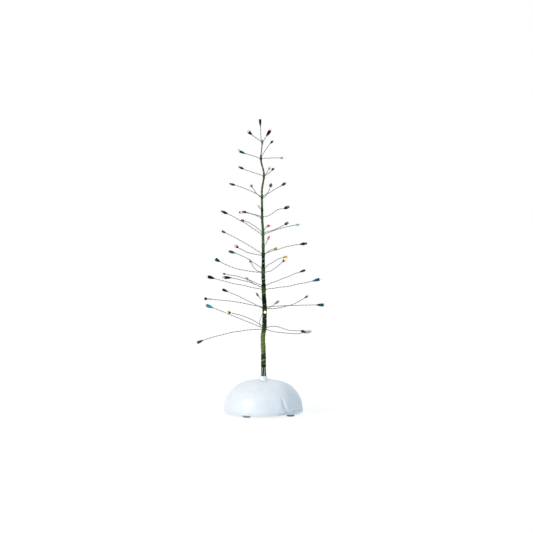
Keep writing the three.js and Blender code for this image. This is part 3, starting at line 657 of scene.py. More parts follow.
def makeMound():
    rim, rings, innerRings = mound["rim"], mound["rings"], mound["innerRings"]
    crown = rim + mound["height"]
    inner = mound["radius"] - mound["wall"]
    stations = [(inner, rim), (mound["radius"] - 0.16, rim), (mound["radius"] - 0.04, rim + 0.06)]
    outside = [moundPoint(i / rings, mound["radius"], mound["height"]) for i in range(1, rings)]
    stations += [point for point in outside if point[0] > mound["dipRadius"]]
    stations += [(radius, crown + height) for radius, height in mound["collar"]]
    inside = [moundPoint(i / innerRings, inner, mound["height"] - mound["wall"])
              for i in reversed(range(innerRings))]
    stations += [point for point in inside if point[0] > mound["innerDipRadius"]]
    piece = raiseProfile("snow_mound", stations, mound["sides"])
    for vertex in piece.data.vertices:
        x, y, z = vertex.co / mm
        radius = math.hypot(x, y)
        bearing = math.degrees(math.atan2(y, x))
        if z > crown - mound["crownSpan"] and radius > mound["collarRadius"]:
            vertex.co.z -= crownHollow(bearing, radius) * mm
        if z > crown - 0.2 or radius < mound["dipRadius"]:
            continue
        inwards = pressedIn(bearing, z) + hollowsAt(mound["facets"], bearing, z)
        fade = (min(1, (radius - mound["dipRadius"]) / mound["fadeOut"])
                * min(1, (z - rim) / mound["fadeUp"]))
        lump = mound["lumpMean"] + noise.noise(Vector((x, y, z)) / mound["lumpSize"])
        inwards += fade * (hollowsAt(mound["hollows"], bearing, z) + mound["lumps"] * lump)
        vertex.co.xy *= 1 - inwards / radius
    smooth(piece, 50)
    finishPiece(piece, ["base_shell"], skins=[snow])


makeMound()
print("snow mound is moulded")


# Base plate, door and what they hold
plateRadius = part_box("base_plate")[1].x / mm
plate = {"edge": 0.07, "rimFrom": 38.7, "rimRadius": plateRadius + 0.3, "roundness": 0.35}


def makePlate():
    piece = refinedCopy("base_plate", "base_plate_moulding", plate["edge"])
    for vertex in piece.data.vertices:
        radius = math.hypot(*vertex.co.xy) / mm
        if radius > plate["rimFrom"]:
            edge = plate["rimRadius"] - plate["roundness"] * (plateRadius - radius)
            vertex.co.xy *= edge / radius
    finishPiece(piece, ["base_plate"], skins=[platePlastic])


makePlate()

# The door's thumb grip is a few ribs, each shorter than the last
door = {"edge": 0.3, "ribs": 4, "ribsFrom": 8, "ribPitch": 1.5, "ribLength": 9, "shortening": 0.8,
        "ribWidth": 0.7, "ribHeight": 0.5, "ribRoot": 0.4, "ribEdge": 0.2}


def makeDoor():
    low = boxOf("battery_door")[0]
    pieces = [refinedCopy("battery_door", "door_panel", door["edge"])]
    for i in range(door["ribs"]):
        y = low.y + door["ribsFrom"] + i * door["ribPitch"]
        half = door["ribLength"] / 2 - i * door["shortening"]
        pieces.append(addBlock("rib", (-half, y, low.z - door["ribHeight"]),
                               (half, y + door["ribWidth"], low.z + door["ribRoot"]),
                               door["ribEdge"]))
    piece = joinPieces("battery_door_moulding", pieces)
    finishPiece(piece, ["battery_door"], "battery_door", skins=[platePlastic])


makeDoor()

foot = {"radius": 4, "sides": 40, "dimple": 1.7}


def makeFeet():
    wide, dimple, top = foot["radius"], foot["dimple"], boxOf("foot_1")[1].z
    stations = [(dimple, 0.35), (dimple + 0.25, 0.08), (dimple + 0.4, 0), (wide - 0.7, 0),
                (wide - 0.3, 0.1), (wide - 0.08, 0.32), (wide, 0.6), (wide, 1.6), (wide - 0.12, 1.75),
                (wide - 0.12, 1.95), (wide, 2.1), (wide, top - 0.15), (wide - 0.2, top)]
    model = raiseProfile("foot", stations, foot["sides"])
    smooth(model)
    for i in range(1, 5):
        low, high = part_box(f"foot_{i}")
        centre = (low + high) / 2
        piece = copyPiece(model, f"rubber_foot_{i}")
        piece.data.transform(Matrix.Translation((centre.x, centre.y, 0)))
        finishPiece(piece, [f"foot_{i}"], skins=[rubber])
    bpy.data.objects.remove(model)


makeFeet()

screw = {"head": 2.2, "shank": 1.1, "sides": 28, "recess": 0.42, "recessReach": 0.62,
         "recessDepth": 0.55, "pitch": 0.9, "threadDepth": 0.25, "threadFrom": 1.3, "tip": 1.6}


def makeScrews():
    head, shank = screw["head"], screw["shank"]
    for i in range(1, 5):
        low, high = boxOf(f"plate_screw_{i}")
        centre = (low + high) / 2
        stations = [(head - 0.9, low.z), (head - 0.25, low.z + 0.12), (head, low.z + 0.4),
                    (head, low.z + 0.8), (shank, low.z + 0.85)]
        z = low.z + screw["threadFrom"]
        while z < high.z - screw["tip"]:
            stations += [(shank - screw["threadDepth"], z), (shank, z + screw["pitch"] / 2)]
            z += screw["pitch"]
        stations += [(shank - 0.3, high.z - 0.9), (0.15, high.z - 0.05)]
        piece = raiseProfile(f"screw_{i}", stations, screw["sides"])
        half, arm = screw["recess"] / 2, head * screw["recessReach"]
        for x, y in ((arm, half), (half, arm)):
            cutter = addBlock("cross", (-x, -y, low.z - 1), (x, y, low.z + screw["recessDepth"]), 0)
            useModifier(piece, "BOOLEAN", operation="DIFFERENCE", object=cutter, solver="EXACT")
            bpy.data.objects.remove(cutter)
        piece.data.transform(Matrix.Translation((centre.x * mm, centre.y * mm, 0)))
        smooth(piece)
        finishPiece(piece, [f"plate_screw_{i}"], skins=[zinc])


makeScrews()

cell = {"radius": 7.25, "length": 50.5, "nub": 2.75, "capRadius": 6.25, "sides": 48,
        "spacing": 15.2}


def makeCells():
    wide, length, nub = cell["radius"], cell["length"], cell["nub"]
    stations = [(wide - 2.6, 0), (wide - 0.9, 0.0), (wide - 0.35, 0.12), (wide - 0.06, 0.4),
                (wide, 0.8), (wide, length - 2.2), (wide - 0.08, length - 1.8),
                (wide - 0.5, length - 1.35), (wide - 1.3, length - 1.15), (nub + 1.6, length - 1.2),
                (nub + 0.15, length - 1.1), (nub, length - 0.85), (nub, length - 0.25),
                (nub - 0.3, length)]
    for i, side in ((1, 1), (2, -1)):
        low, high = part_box(f"battery_cell_{i}")
        piece = raiseProfile(f"cell_{i}", stations, cell["sides"])
        giveHeightMap(piece, length)
        bare = [math.hypot(*face.center.xy) < cell["capRadius"] * mm for face in piece.data.polygons]
        piece.data.polygons.foreach_set("material_index", [int(found) for found in bare])
        turn = Matrix.Rotation(math.radians(90 * side), 4, "Y")
        start = low.x if side > 0 else high.x
        middle = (low + high) / 2
        piece.data.transform(Matrix.Translation((start, middle.y, middle.z)) @ turn)
        smooth(piece)
        finishPiece(piece, [f"battery_cell_{i}"], skins=[jacket, nickel])


makeCells()

contact = {"thickness": 0.4, "halfHeight": 4.5, "edge": 0.12, "tabHalfWidth": 1.5, "tabDrop": 2,
           "tabEdge": 0.1, "spring": 4, "wire": 0.35, "turns": 3.25, "turnSteps": 22,
           "foot": 4.4, "tip": 2.8}


def springCoil(x, y, z, side):
    # a cone of turns from a plate's face to the cell's flat end
    steps = int(contact["turnSteps"] * contact["turns"])
    path = []
    for i in range(steps + 1):
        share = i / steps
        angle = math.tau * contact["turns"] * share
        around = mix(contact["foot"], contact["tip"], share)
        along = x - side * mix(0, contact["spring"] - contact["wire"], share)
        path.append(Vector((along, y + around * math.cos(angle), z + around * math.sin(angle))) * mm)
    return sweepAll("spring", [(path, contact["wire"] * mm, 0)], 8)


def makeContacts():
    cellLow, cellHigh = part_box("battery_cell_1")
    middle = ((cellLow + cellHigh) / 2).z / mm
    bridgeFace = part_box("bridge_contact")[1].x / mm - contact["thickness"]
    # side is the end of the bay, and springRow the cell whose flat end meets a spring there
    for node, name, side, springRow in (("positive_terminal", "plus_contact", -1, 0),
                                        ("negative_terminal", "minus_contact", -1, 1),
                                        ("bridge_contact", "bridge_plate", 1, -1)):
        low, high = boxOf(node)
        face = side * bridgeFace
        back = face + side * contact["thickness"]
        inner, outer = min(face, back), max(face, back)
        half = contact["halfHeight"]
        pieces = [addBlock("plate", (inner, low.y, middle - half), (outer, high.y, middle + half),
                           contact["edge"])]
        if side < 0:
            tabMiddle, tabHalf = (low.y + high.y) / 2, contact["tabHalfWidth"]
            tabTop = middle + half - contact["tabDrop"] + contact["thickness"]
            pieces.append(addBlock("tab", (low.x, tabMiddle - tabHalf, tabTop - contact["thickness"]),
                                   (outer, tabMiddle + tabHalf, tabTop), contact["tabEdge"]))
        if springRow:
            pieces.append(springCoil(face, springRow * cell["spacing"] / 2, middle, side))
        piece = joinPieces(name, pieces)
        smooth(piece)
        finishPiece(piece, [node], skins=[nickel])


makeContacts()

switch = {"edge": 0.25, "knobEdge": 0.18, "gripPitch": 0.75, "gripHalfWidth": 0.16,
          "gripHalfLength": 1, "gripHeight": 0.22, "gripRoot": 0.2, "gripEdge": 0.08}


def makeSwitch():
    housing = refinedCopy("switch_body", "switch_housing", switch["edge"])
    finishPiece(housing, ["switch_body"], skins=[switchPlastic])
    low, high = boxOf("switch_knob")
    middle = (low + high) / 2
    across, along = switch["gripHalfWidth"], switch["gripHalfLength"]
    pieces = [refinedCopy("switch_knob", "knob", switch["knobEdge"])]
    for i in (-1, 0, 1):
        x = middle.x + i * switch["gripPitch"]
        pieces.append(addBlock("grip", (x - across, middle.y - along, low.z - switch["gripHeight"]),
                               (x + across, middle.y + along, low.z + switch["gripRoot"]),
                               switch["gripEdge"]))
    knob = joinPieces("switch_slider", pieces)
    finishPiece(knob, ["switch_knob"], "switch_knob", skins=[switchPlastic])


makeSwitch()

for node, name, slot, skin in (("lead_red", "red_lead", "lead_red_pvc", redPvc),
                               ("lead_switched", "switched_lead", "lead_red_pvc", redPvc),
                               ("lead_black", "black_lead", "lead_black_pvc", blackPvc),
                               ("stem_core_wire", "core_wire", "steel", zinc)):
    finishPiece(refinedCopy(node, name, angle=60), [node], skins=[skin])
finishPiece(refinedCopy("stem_retainer", "push_on_retainer", 0.15), ["stem_retainer"],
            skins=[zinc])
print("base is fitted out")


# Stem: its centre and radius at each height, as the part has them
stem = {
    "stations": [(25, 0, 0, 2.4), (41, 0, 0, 2.4), (61, -0.1, 0.3, 2.25), (78, -0.7, 0.5, 2.15),
                 (92, 0.9, 0.2, 2.1), (108, 1.1, -0.5, 2.05), (128, 0.1, -0.7, 1.95),
                 (144, -0.3, 0, 1.7), (164, -0.3, 0.8, 1.45), (185, -0.6, 0.6, 1.25),
                 (203, -1.5, -0.3, 1.1), (228, -1.7, -0.8, 0.95), (245, 0.4, -0.2, 0.85),
                 (262, -2.7, 0.5, 0.8), (281, -1.3, 0.3, 0.65)],
    "tapeLow": 48,
    "tapeHigh": 263,
    "ringStep": 0.4,
    "sides": 30,
    "pitch": 3.8,  # of the tape's turns
    "pull": 0.35,  # how unevenly a hand pulls it, in turns, and over what height
    "pullSize": 11,
    "tapeThickness": 0.14,
    "lapEdge": 0.1,  # the share of a turn that the upper edge of a lap takes
    "fullRadius": 2.2,  # where the stem is thinner than this, the forms under the tape shrink
    "fullness": 0.2,
    "fullLap": 0.2,  # so much thinner and the laps still stand out fully
    "ridges": 6,
    "ridgeDepth": 0.05,
    "ridgeTwist": 70,
    "lumps": 0.13,
    "lumpBreadth": 0.9,
    "lumpHeight": 5.5,
}


def stemAt(z):
    rows = stem["stations"]
    i = 0
    while i < len(rows) - 2 and z > rows[i + 1][0]:
        i += 1
    low, high = rows[i], rows[i + 1]
    share = clip((z - low[0]) / (high[0] - low[0]))
    eased = (1 - math.cos(share * math.pi)) / 2
    return mix(low[1], high[1], eased), mix(low[2], high[2], eased), mix(low[3], high[3], share)


def tapePhase(z):
    # how many turns the tape has made at a height
    return z / stem["pitch"] + stem["pull"] * noise.noise(Vector((0, 0, z / stem["pullSize"])))


def tapeRadius(z, angle, radius):
    turn = tapePhase(z) - angle / math.tau
    share, edge = turn - math.floor(turn), stem["lapEdge"]
    lap = share / edge if share < edge else (1 - share) / (1 - edge)
    thin = radius / stem["fullRadius"]
    ridge = math.cos(stem["ridges"] * (angle - math.tau * z / stem["ridgeTwist"]))
    breadth = stem["lumpBreadth"]
    lump = noise.noise(Vector((math.cos(angle) * breadth, math.sin(angle) * breadth,
                               z / stem["lumpHeight"])))
    lapHeight = stem["tapeThickness"] * (lap - 0.5) * min(1, thin + stem["fullLap"])
    return (radius + stem["fullness"] * thin + lapHeight
            + stem["ridgeDepth"] * ridge * thin + stem["lumps"] * lump * thin)


def makeStem():
    sides, step = stem["sides"], stem["ringStep"]
    count = int((stem["tapeHigh"] - stem["tapeLow"]) / step) + 1
    points, heights = [], []
    for i in range(count):
        z = stem["tapeLow"] + i * step
        x, y, radius = stemAt(z)
        heights.append(z)
        close = min(1, (min(i, count - 1 - i) + 0.6) / 2)  # the last rings draw in on the leads
        for k in range(sides):
            angle = math.tau * k / sides
            around = tapeRadius(z, angle, radius) * (0.8 + 0.2 * close)
            points.append(ringSpot((x, y), around, angle, z))
    piece = meshPiece("taped_stem", points, ringFaces(count, sides))
    wrap = piece.data.uv_layers.new(name="wrap")
    for face in piece.data.polygons[:-2]:
        seam = face.index % sides == sides - 1
        for loop in face.loop_indices:
            vertex = piece.data.loops[loop].vertex_index
            k = vertex % sides
            turn = (sides if seam and k == 0 else k) / sides
            wrap.data[loop].uv = (turn, tapePhase(heights[vertex // sides]))
    smooth(piece, 60)
    finishPiece(piece, ["stem"], skins=[tape])


# The leads that show below the tape and over it: each strand's tone, how thick the strands are
# and how they wind
lowLeads = {"tones": (1, 2, 1, 2, 0, 2, 0, 2, 1, 2), "radius": 0.66, "start": 0.25, "pitch": 95,
            "step": 0.8, "sides": 10, "standOut": 0.26, "dipFrom": 46.5, "dip": 0.16, "core": 1.3,
            "coreTone": 2, "underTape": 3}
topLeads = {"tones": (0, 1, 0, 2), "radius": 0.27, "start": 0, "pitch": 9, "step": 0.5, "sides": 8,
            "spread": 0.52, "underTape": 4, "standOver": 0.3}


def lowReach(z, radius):
    # the strands stand out a little, and dip in under the tape's edge
    return (radius - lowLeads["radius"] + lowLeads["standOut"]
            - lowLeads["dip"] * max(0, z - lowLeads["dipFrom"]))


def topReach(z, radius):
    return radius * topLeads["spread"]


def strandPath(low, high, leads, start, reach):
    # one strand: reach gives its distance from the stem's middle at a height
    count = int((high - low) / leads["step"]) + 1
    path = []
    for i in range(count):
        z = low + (high - low) * i / (count - 1)
        x, y, radius = stemAt(z)
        angle = start + math.tau * (z - low) / leads["pitch"]
        path.append(ringSpot((x, y), reach(z, radius), angle, z))
    return path


def makeLeads(name, low, high, leads, reach):
    rods, count = [], len(leads["tones"])
    for i, tone in enumerate(leads["tones"]):
        start = math.tau * i / count + leads["start"]
        rods.append((strandPath(low, high, leads, start, reach), leads["radius"] * mm, tone))
    if "core" in leads:
        path = strandPath(low, high, leads, 0, lambda z, radius: 0.0)
        rods.append((path, leads["core"] * mm, leads["coreTone"]))
    piece = sweepAll(name, rods, leads["sides"])
    finishPiece(piece, skins=strandTones)


makeStem()
makeLeads("bare_lead_bundle", stem["stations"][0][0], stem["tapeLow"] + lowLeads["underTape"],
          lowLeads, lowReach)
makeLeads("top_lead_bundle", stem["tapeHigh"] - topLeads["underTape"],
          stem["stations"][-1][0] + topLeads["standOver"], topLeads, topReach)
print("stem is wound")


# Branches, in groups that share a binding round the stem, at a height. A lamp's row is:
# - bearing, from the right, with 90 at the back
# - reach and rise, from the stem to the bulb's centre
# - bow, which is how far the wire's middle lies over the straight line
# - sleeve, its length, and girth, how thick the lamp is
# - the bulb's tone and the sleeve's
lampColumns = ("bearing", "reach", "rise", "bow", "sleeve", "girth", "bulb", "skin")
branches = {
    "1a": (87.2, [(169, 71.5, -15.5, 3, 6.5, 1, "pink", "teal"),
                  (44, 68.2, -5.6, -3.5, 6.5, 1.1, "cherry", "smoke")]),
    "1b": (88.8, [(154.5, 68, 21.8, 0.1, 7.6, 1.25, "peach", "tealPaintedLit"),
                  (-53, 67, -0.6, 1.5, 5.5, 1, "umber", "black")]),
    "1c": (90.4, [(236.5, 67, 17.2, 2.6, 5, 1.1, "apricot", "black")]),
    "2a": (107, [(-89.5, 58, 0.9, 1, 6, 1, "gold", "black"),
                 (76, 61, 6, -0.5, 6, 1, "ice", "pale")]),
    "2b": (108.6, [(137.5, 61, 18, 0.6, 7.6, 1, "blush", "black"),
                   (-44, 61, 15.3, -4.2, 5, 0.8, "straw", "grey")]),
    "2c": (110.2, [(184, 63, 8.7, 1, 6.6, 1.05, "clear", "black"),
                   (13, 63.8, 1.2, 0.5, 7.4, 1.15, "pink", "teal")]),
    "2d": (116.4, [(98, 60, 5, -0.6, 3.8, 0.75, "russet", "grey")]),
    "3a": (128.4, [(172, 59, 12.8, -0.9, 7, 1.15, "mint", "black"),
                   (-5, 58.5, 10.6, -1.2, 7.4, 1.1, "pink", "deepTeal")]),
    "3b": (130, [(226, 58, 11.8, 2, 7, 1.05, "magenta", "tealPaintedShade"),
                 (253, 58, 11.2, -1, 4.8, 1, "russet", "cream")]),
    "3c": (132, [(137.5, 57.3, 10.9, 1.8, 3.2, 0.7, "deepTeal", "teal"),
                 (40.5, 58, 15, 0.3, 7.4, 0.9, "clear", "greyTeal")]),
    "4a": (145.6, [(184, 50.2, 14.2, -3.6, 5.4, 1.2, "clear", "pineTeal"),
                   (-64, 50, 14.5, -2.8, 5, 1, "orange", "wine")]),
    "4b": (147.4, [(254.5, 50, 12.1, -5, 4.4, 0.85, "olive", "moss")]),
    "4c": (149.4, [(136, 50, 17.2, 2.4, 7.6, 1.05, "magenta", "teal"),
                   (60.5, 50, 11.2, 2.2, 6, 1, "scarlet", "amber")]),
    "5a": (163, [(229, 43, 10.3, -2.2, 4, 1, "fuchsia", "black"),
                 (69.5, 43, 6.6, 1.6, 3.8, 1, "lemon", "tan")]),
    "5b": (164.8, [(166, 45, 23.4, 1.1, 4.6, 0.8, "cyan", "greyTeal"),
                   (-8, 44, 10.3, 1.4, 4.8, 1.05, "night", "darkTeal")]),
    "5c": (172, [(-82, 42, 10, -1, 3.4, 0.85, "mauve", "smoke")]),
    "6a": (184.6, [(172, 42.4, 23.4, 1.6, 5, 1, "night", "navy"),
                   (26, 42.2, 10, 1.3, 3.8, 0.8, "mint", "paleTeal")]),
    "6b": (186.2, [(239.5, 42, 12.4, 2.2, 4, 0.85, "maroon", "teal"),
                   (-54, 42, 9.8, -1.2, 3.8, 1, "pine", "darkTeal")]),
    "6c": (187.8, [(80, 42, 5.5, 0.5, 2.6, 1, "rose", "brick")]),
    "7a": (201.2, [(231, 30, 6.1, 0.8, 3.8, 0.9, "night", "greyTeal")]),
    "7b": (202.8, [(140, 30, 4.4, 0.8, 3.8, 1, "umber", "blush"),
                   (-27, 30, 9.5, 0, 4, 1.15, "maroon", "black")]),
    "7c": (209.5, [(99, 30, 5.7, 0.3, 4, 0.8, "peach", "fawn")]),
    "8a": (221.8, [(249.5, 33, 13, -1.6, 4.2, 1, "yellow", "grey"),
                   (-62.5, 20, 13, -3.6, 3.8, 1.15, "deepTeal", "darkTeal")]),
    "8b": (223.4, [(168, 33, 12.8, 1.2, 3.8, 0.85, "umber", "navy"),
                   (42, 33, 14.2, -0.2, 5, 1, "fuchsia", "teal")]),
    "9a": (242.9, [(-75, 25, 9.4, 0, 6, 0.85, "yellow", "pale")]),
    "9b": (244.6, [(159, 27, 8.9, -0.5, 3.8, 0.9, "purple", "navy"),
                   (66, 25, 8.4, -1, 5, 0.85, "peach", "greyTeal")]),
    "10a": (262, [(205, 25, 7.2, 0.4, 6.4, 0.9, "leaf", "teal"),
                  (-22, 25.6, 0, 0.3, 4.4, 0.75, "lilac", "pale")]),
    "10b": (264, [(60, 25, 17.5, 1.3, 5, 0.85, "pink", "teal")]),
    "11a": (279.4, [(180, 2.35, 24, 0, 7.4, 0.88, "blush", "tealPaintedShade"),
                    (35, 10.6, 12.4, 0.2, 7.2, 1.15, "salmon", "black"),
                    (215, 18, 10, -0.8, 5, 1.15, "mint", "navy")]),
}
# What only a few lamps have. Turned is how far the lamp is bent to the right, back and up from its
# wire's own direction, as nod is for the bulb, and wave is how far the wire swings down and up
lampExtras = {
    "1a_1": {"turned": (0, 0, -0.05), "nod": (0, 0, 0.4)},
    "1a_2": {"turned": (0.5, -0.3, 0.1)},
    "1b_2": {"wave": 1.3},
    "2a_2": {"turned": (0.5, 0, 0.3)},
    "2c_1": {"clearTail": 3.4},
    "2d_1": {"turned": (-0.5, 0, 0.8)},
    "3b_1": {"turned": (-0.5, 0.35, 0)},
    "3c_1": {"turned": (0, 0.8, 0)},
    "5a_2": {"turned": (0.9, 0, 0.2)},
    "5c_1": {"turned": (0.35, 0, 0.7)},
    "6c_1": {"turned": (1.2, 0, 0)},
    "7b_2": {"wave": -1.2},
    "7c_1": {"turned": (-0.5, 0, 1)},
    "8a_2": {"turned": (0, -1.4, 0)},
    "10a_1": {"turned": (0, 0, 0.1), "nod": (0, 0, 1.0)},
}
lampSizes = {
    "sides": 16,
    "sleeveRadius": 1.46,
    "sleeveTail": 0.55,
    "sleeveModel": 6,  # the model's length, which each lamp stretches to its own
    "sleeveUneven": 0.06,
    "pucker": 0.05,
    "puckerSize": 1.1,
    "bulbRadius": 1.15,
    "bulbStandOut": 2.8,
    "post": 0.35,  # how far the filament's posts stand apart, each side
    "postRadius": 0.045,
    "coilTop": 1.1,
    "coilRadius": 0.09,
    "coilTurns": 3,
    "coilSteps": 24,
    "coilWire": 0.03,
    "strand": 0.2,
    "strandGap": 0.005,
    "pitch": 7.4,  # of the twisted pair
    "step": 0.55,
    "sway": 0.35,
    "swayLength": 40,  # shorter wires sway less
    # how far the wire is from the stem's surface, and how far below its place, under the binding
    "root": [(-0.3, 2.6), (0.05, 1.5), (0.3, 0.6)],
    "rootOut": 0.45,
    "inside": (0.6, 1.1),  # where the wire runs on into the sleeve
}


def makeSleeveModel():
    length = lampSizes["sleeveModel"]
    wide, tail = lampSizes["sleeveRadius"], lampSizes["sleeveTail"]
    stations = [(tail - 0.13, 0.02), (tail - 0.04, 0), (tail, 0.08), (tail + 0.03, 0.5), (0.78, 1.1),
                (1.08, 2.0), (1.32, 3.0), (wide - 0.02, 3.9), (wide, 4.7), (wide - 0.05, 5.5),
                (wide - 0.08, 5.85), (wide - 0.14, length), (wide - 0.2, length - 0.02),
                (wide - 0.24, length - 0.3), (1.0, 3.6), (0.6, 1.6), (tail - 0.14, 0.5),
                (tail - 0.13, 0.02)]
    piece = raiseProfile("sleeve_model", stations, lampSizes["sides"])
    giveHeightMap(piece, length)
    return piece


def makeBulbModel():
    # the glass, with two posts and a coiled filament between them
    wide, out = lampSizes["bulbRadius"], lampSizes["bulbStandOut"]
    stations = [(0.5, -1.3), (0.85, -1.15), (1.05, -0.75), (wide, -0.1), (wide, 0.9), (wide, 1.45),
                (wide - 0.04, 1.75), (wide - 0.14, 2.05), (wide - 0.32, 2.32), (wide - 0.6, 2.54),
                (wide - 0.86, 2.65), (0.17, 2.7), (0.12, out - 0.03), (0.05, out)]
    glass = raiseProfile("bulb_model", stations, lampSizes["sides"])
    giveHeightMap(glass, out)
    post, top, around = lampSizes["post"], lampSizes["coilTop"], lampSizes["coilRadius"]
    rods = [([Vector((side * post, 0, z)) * mm for z in (-1.0, -0.2, 0.6, top)],
             lampSizes["postRadius"] * mm, 1) for side in (-1, 1)]
    coil = []
    for i in range(lampSizes["coilSteps"] + 1):
        share = i / lampSizes["coilSteps"]
        turn = share * 2 * lampSizes["coilTurns"] * math.pi
        arch = post * math.sin(share * math.pi)
        coil.append(Vector((mix(-post, post, share), around * math.cos(turn),
                            top + arch + around * math.sin(turn))) * mm)
    rods.append((coil, lampSizes["coilWire"] * mm, 1))
    filament = sweepAll("filament", rods, 4)
    filament.data.uv_layers.new(name="wrap")
    piece = joinPieces("bulb_model", [glass, filament])
    # the filament's faces lie deep inside the glass
    inside = [max(math.hypot(*piece.data.vertices[v].co.xy) for v in face.vertices) < 0.48 * mm
              and -1.05 * mm < face.center.z < 1.6 * mm for face in piece.data.polygons]
    piece.data.polygons.foreach_set("material_index", [int(found) for found in inside])
    return piece


def bezier(start, middle, end, share):
    return start.lerp(middle, share).lerp(middle.lerp(end, share), share)


def lampRoute(z, lamp):
    # the wire's centre line, and the place and direction of the sleeve's foot
    x, y, radius = stemAt(z)
    turn = math.radians(lamp["bearing"])
    outwards = Vector((math.cos(turn), math.sin(turn), 0))
    sideways = outwards.cross(Vector((0, 0, 1)))
    centre = Vector((x, y, z))
    start = centre + outwards * (radius + lampSizes["rootOut"])
    bulb = centre + outwards * lamp["reach"] + Vector((0, 0, lamp["rise"]))
    middle = (start + bulb) / 2 + Vector((0, 0, 2 * lamp["bow"]))
    lampSpan = lamp["sleeve"] + lampSizes["bulbStandOut"] / 2
    share = 1 - lampSpan / (2 * (bulb - middle).length)
    foot = bezier(start, middle, bulb, share)
    along = (bulb - foot).normalized()
    if "turned" in lamp:
        along = (along + Vector(lamp["turned"])).normalized()
        foot = bulb - along * lampSpan
    length = (foot - start).length
    count = max(8, int(length / lampSizes["step"]))
    seed = lamp["bearing"] * 0.37 + z
    path = [centre + outwards * (radius + out) - Vector((0, 0, down))
            for out, down in lampSizes["root"]]
    for i in range(2, count + 1):
        part = i / count
        place = bezier(start, start.lerp(middle, share), foot, part)
        free = (math.sin(part * math.pi) * lampSizes["sway"]
                * min(1, length / lampSizes["swayLength"]))
        place.z += lamp.get("wave", 0) * math.sin(math.tau * part)
        place.z += free * noise.noise(Vector((seed, 0, part * 4))) * 2
        place += sideways * free * noise.noise(Vector((0, seed, part * 3))) * 2
        path.append(place)
    return path + [foot + along * further for further in lampSizes["inside"]], foot, along


def twistedPair(path):
    # two strands wound round a path, with a turn for every pitch of length
    offset = lampSizes["strand"] + lampSizes["strandGap"]
    strands = [[], []]
    gone = 0
    for i, (place, (side, other)) in enumerate(zip(path, sidesAlong(path))):
        gone += (place - path[i - 1]).length if i else 0
        angle = math.tau * gone / lampSizes["pitch"]
        sideways = (side * math.cos(angle) + other * math.sin(angle)) * offset
        for strand, sign in zip(strands, (1, -1)):
            strand.append(spot(*(place + sideways * sign)))
    return strands


def placed(model, name, place, along, stretch=1, girth=1, squash=1):
    # a copy of a model along Z, put at a place and turned to a direction
    piece = copyPiece(model, name)
    turn = along.to_track_quat("Z", "Y").to_matrix().to_4x4()
    size = Matrix.Diagonal((girth / squash, girth * squash, stretch, 1))
    front = Matrix.Rotation(math.radians(treeTurn), 4, "Z")
    piece.data.transform(front @ Matrix.Translation(place * mm) @ turn @ size)
    return piece


def makeLamp(z, name, lamp, node, sleeveModel, bulbModel):
    path, foot, along = lampRoute(z, lamp)
    rods = [(strand, lampSizes["strand"] * mm, 0) for strand in twistedPair(path)]
    finishPiece(sweepAll(f"lead_{name}", rods, 6), [node], skins=[wire])
    uneven = 1 + lampSizes["sleeveUneven"] * noise.noise(Vector((lamp["bearing"], z, 0)))
    tail = lamp.get("clearTail", 0)
    if tail:
        makeTailDrop(name, node, foot, along, tail)
    sleeve = placed(sleeveModel, f"sleeve_{name}", foot + along * tail, along,
                    (lamp["sleeve"] - tail) / lampSizes["sleeveModel"], lamp["girth"], uneven)
    for vertex in sleeve.data.vertices:
        pucker = noise.noise(vertex.co / (lampSizes["puckerSize"] * mm)) * lampSizes["pucker"] * mm
        vertex.co += vertex.normal * pucker
    smooth(sleeve, 60)
    finishPiece(sleeve, [node], skins=[sleeveSkins[lamp["skin"]]])
    facing = (along + Vector(lamp.get("nod", (0, 0, 0)))).normalized()
    glass = placed(bulbModel, f"bulb_{name}", foot + along * lamp["sleeve"], facing,
                   girth=lamp["girth"])
    smooth(glass, 60)
    finishPiece(glass, [node], skins=[bulbSkins[lamp["bulb"]], filamentHot])


def makeTailDrop(name, node, foot, along, length):
    # a drop of clear glue where the wires enter the sleeve
    stations = [(0.3, 0), (0.55, 0.15), (0.85, 0.6), (1.05, 1.4), (1.05, length - 0.9), (0.9, length),
                (0.6, length + 0.5)]
    model = raiseProfile("drop_model", stations, 20)
    piece = placed(model, f"clear_tail_{name}", foot, along)
    bpy.data.objects.remove(model)
    smooth(piece, 60)
    finishPiece(piece, [node], skins=[clearGlue])


# The tape round the stem where a group's wires leave it: its middle is a little lower than they
# are, and that of the last group, which covers the stem's end, is lower still
bindingSizes = {
    "wall": 0.3,
    "creases": 0.25,
    "halfHeight": 1.8,
    "lower": 0.3,
    "lowest": {"11a": 1.6},
    "sides": 24,
    "levels": [-1, -0.8, -0.5, -0.2, 0.1, 0.3, 0.55, 0.8, 1],
}


def makeBinding(group, z, node):
    x, y, radius = stemAt(z)
    sides, levels = bindingSizes["sides"], bindingSizes["levels"]
    middle = z - bindingSizes["lowest"].get(group, bindingSizes["lower"])
    points = []
    for level in levels:
        swell = (1 - level * level) ** 0.5
        for k in range(sides):
            angle = math.tau * k / sides
            crease = noise.noise(Vector((math.cos(angle), math.sin(angle), (z + level * 2) * 0.7)))
            around = radius + 0.02 + (bindingSizes["wall"] + bindingSizes["creases"] * crease) * swell
            points.append(ringSpot((x, y), around, angle, middle + level * bindingSizes["halfHeight"]))
    piece = meshPiece(f"binding_{group}", points, ringFaces(len(levels), sides))
    smooth(piece, 60)
    finishPiece(piece, [node], skins=[binding])


def makeBranches():
    sleeveModel, bulbModel = makeSleeveModel(), makeBulbModel()
    for group, (z, rows) in branches.items():
        node = "lamp_branch_" + group
        makeBinding(group, z, node)
        for i, row in enumerate(rows):
            name = f"{group}_{i + 1}"
            lamp = dict(zip(lampColumns, row), **lampExtras.get(name, {}))
            makeLamp(z, name, lamp, node, sleeveModel, bulbModel)
    for model in (sleeveModel, bulbModel):
        bpy.data.objects.remove(model)


makeBranches()

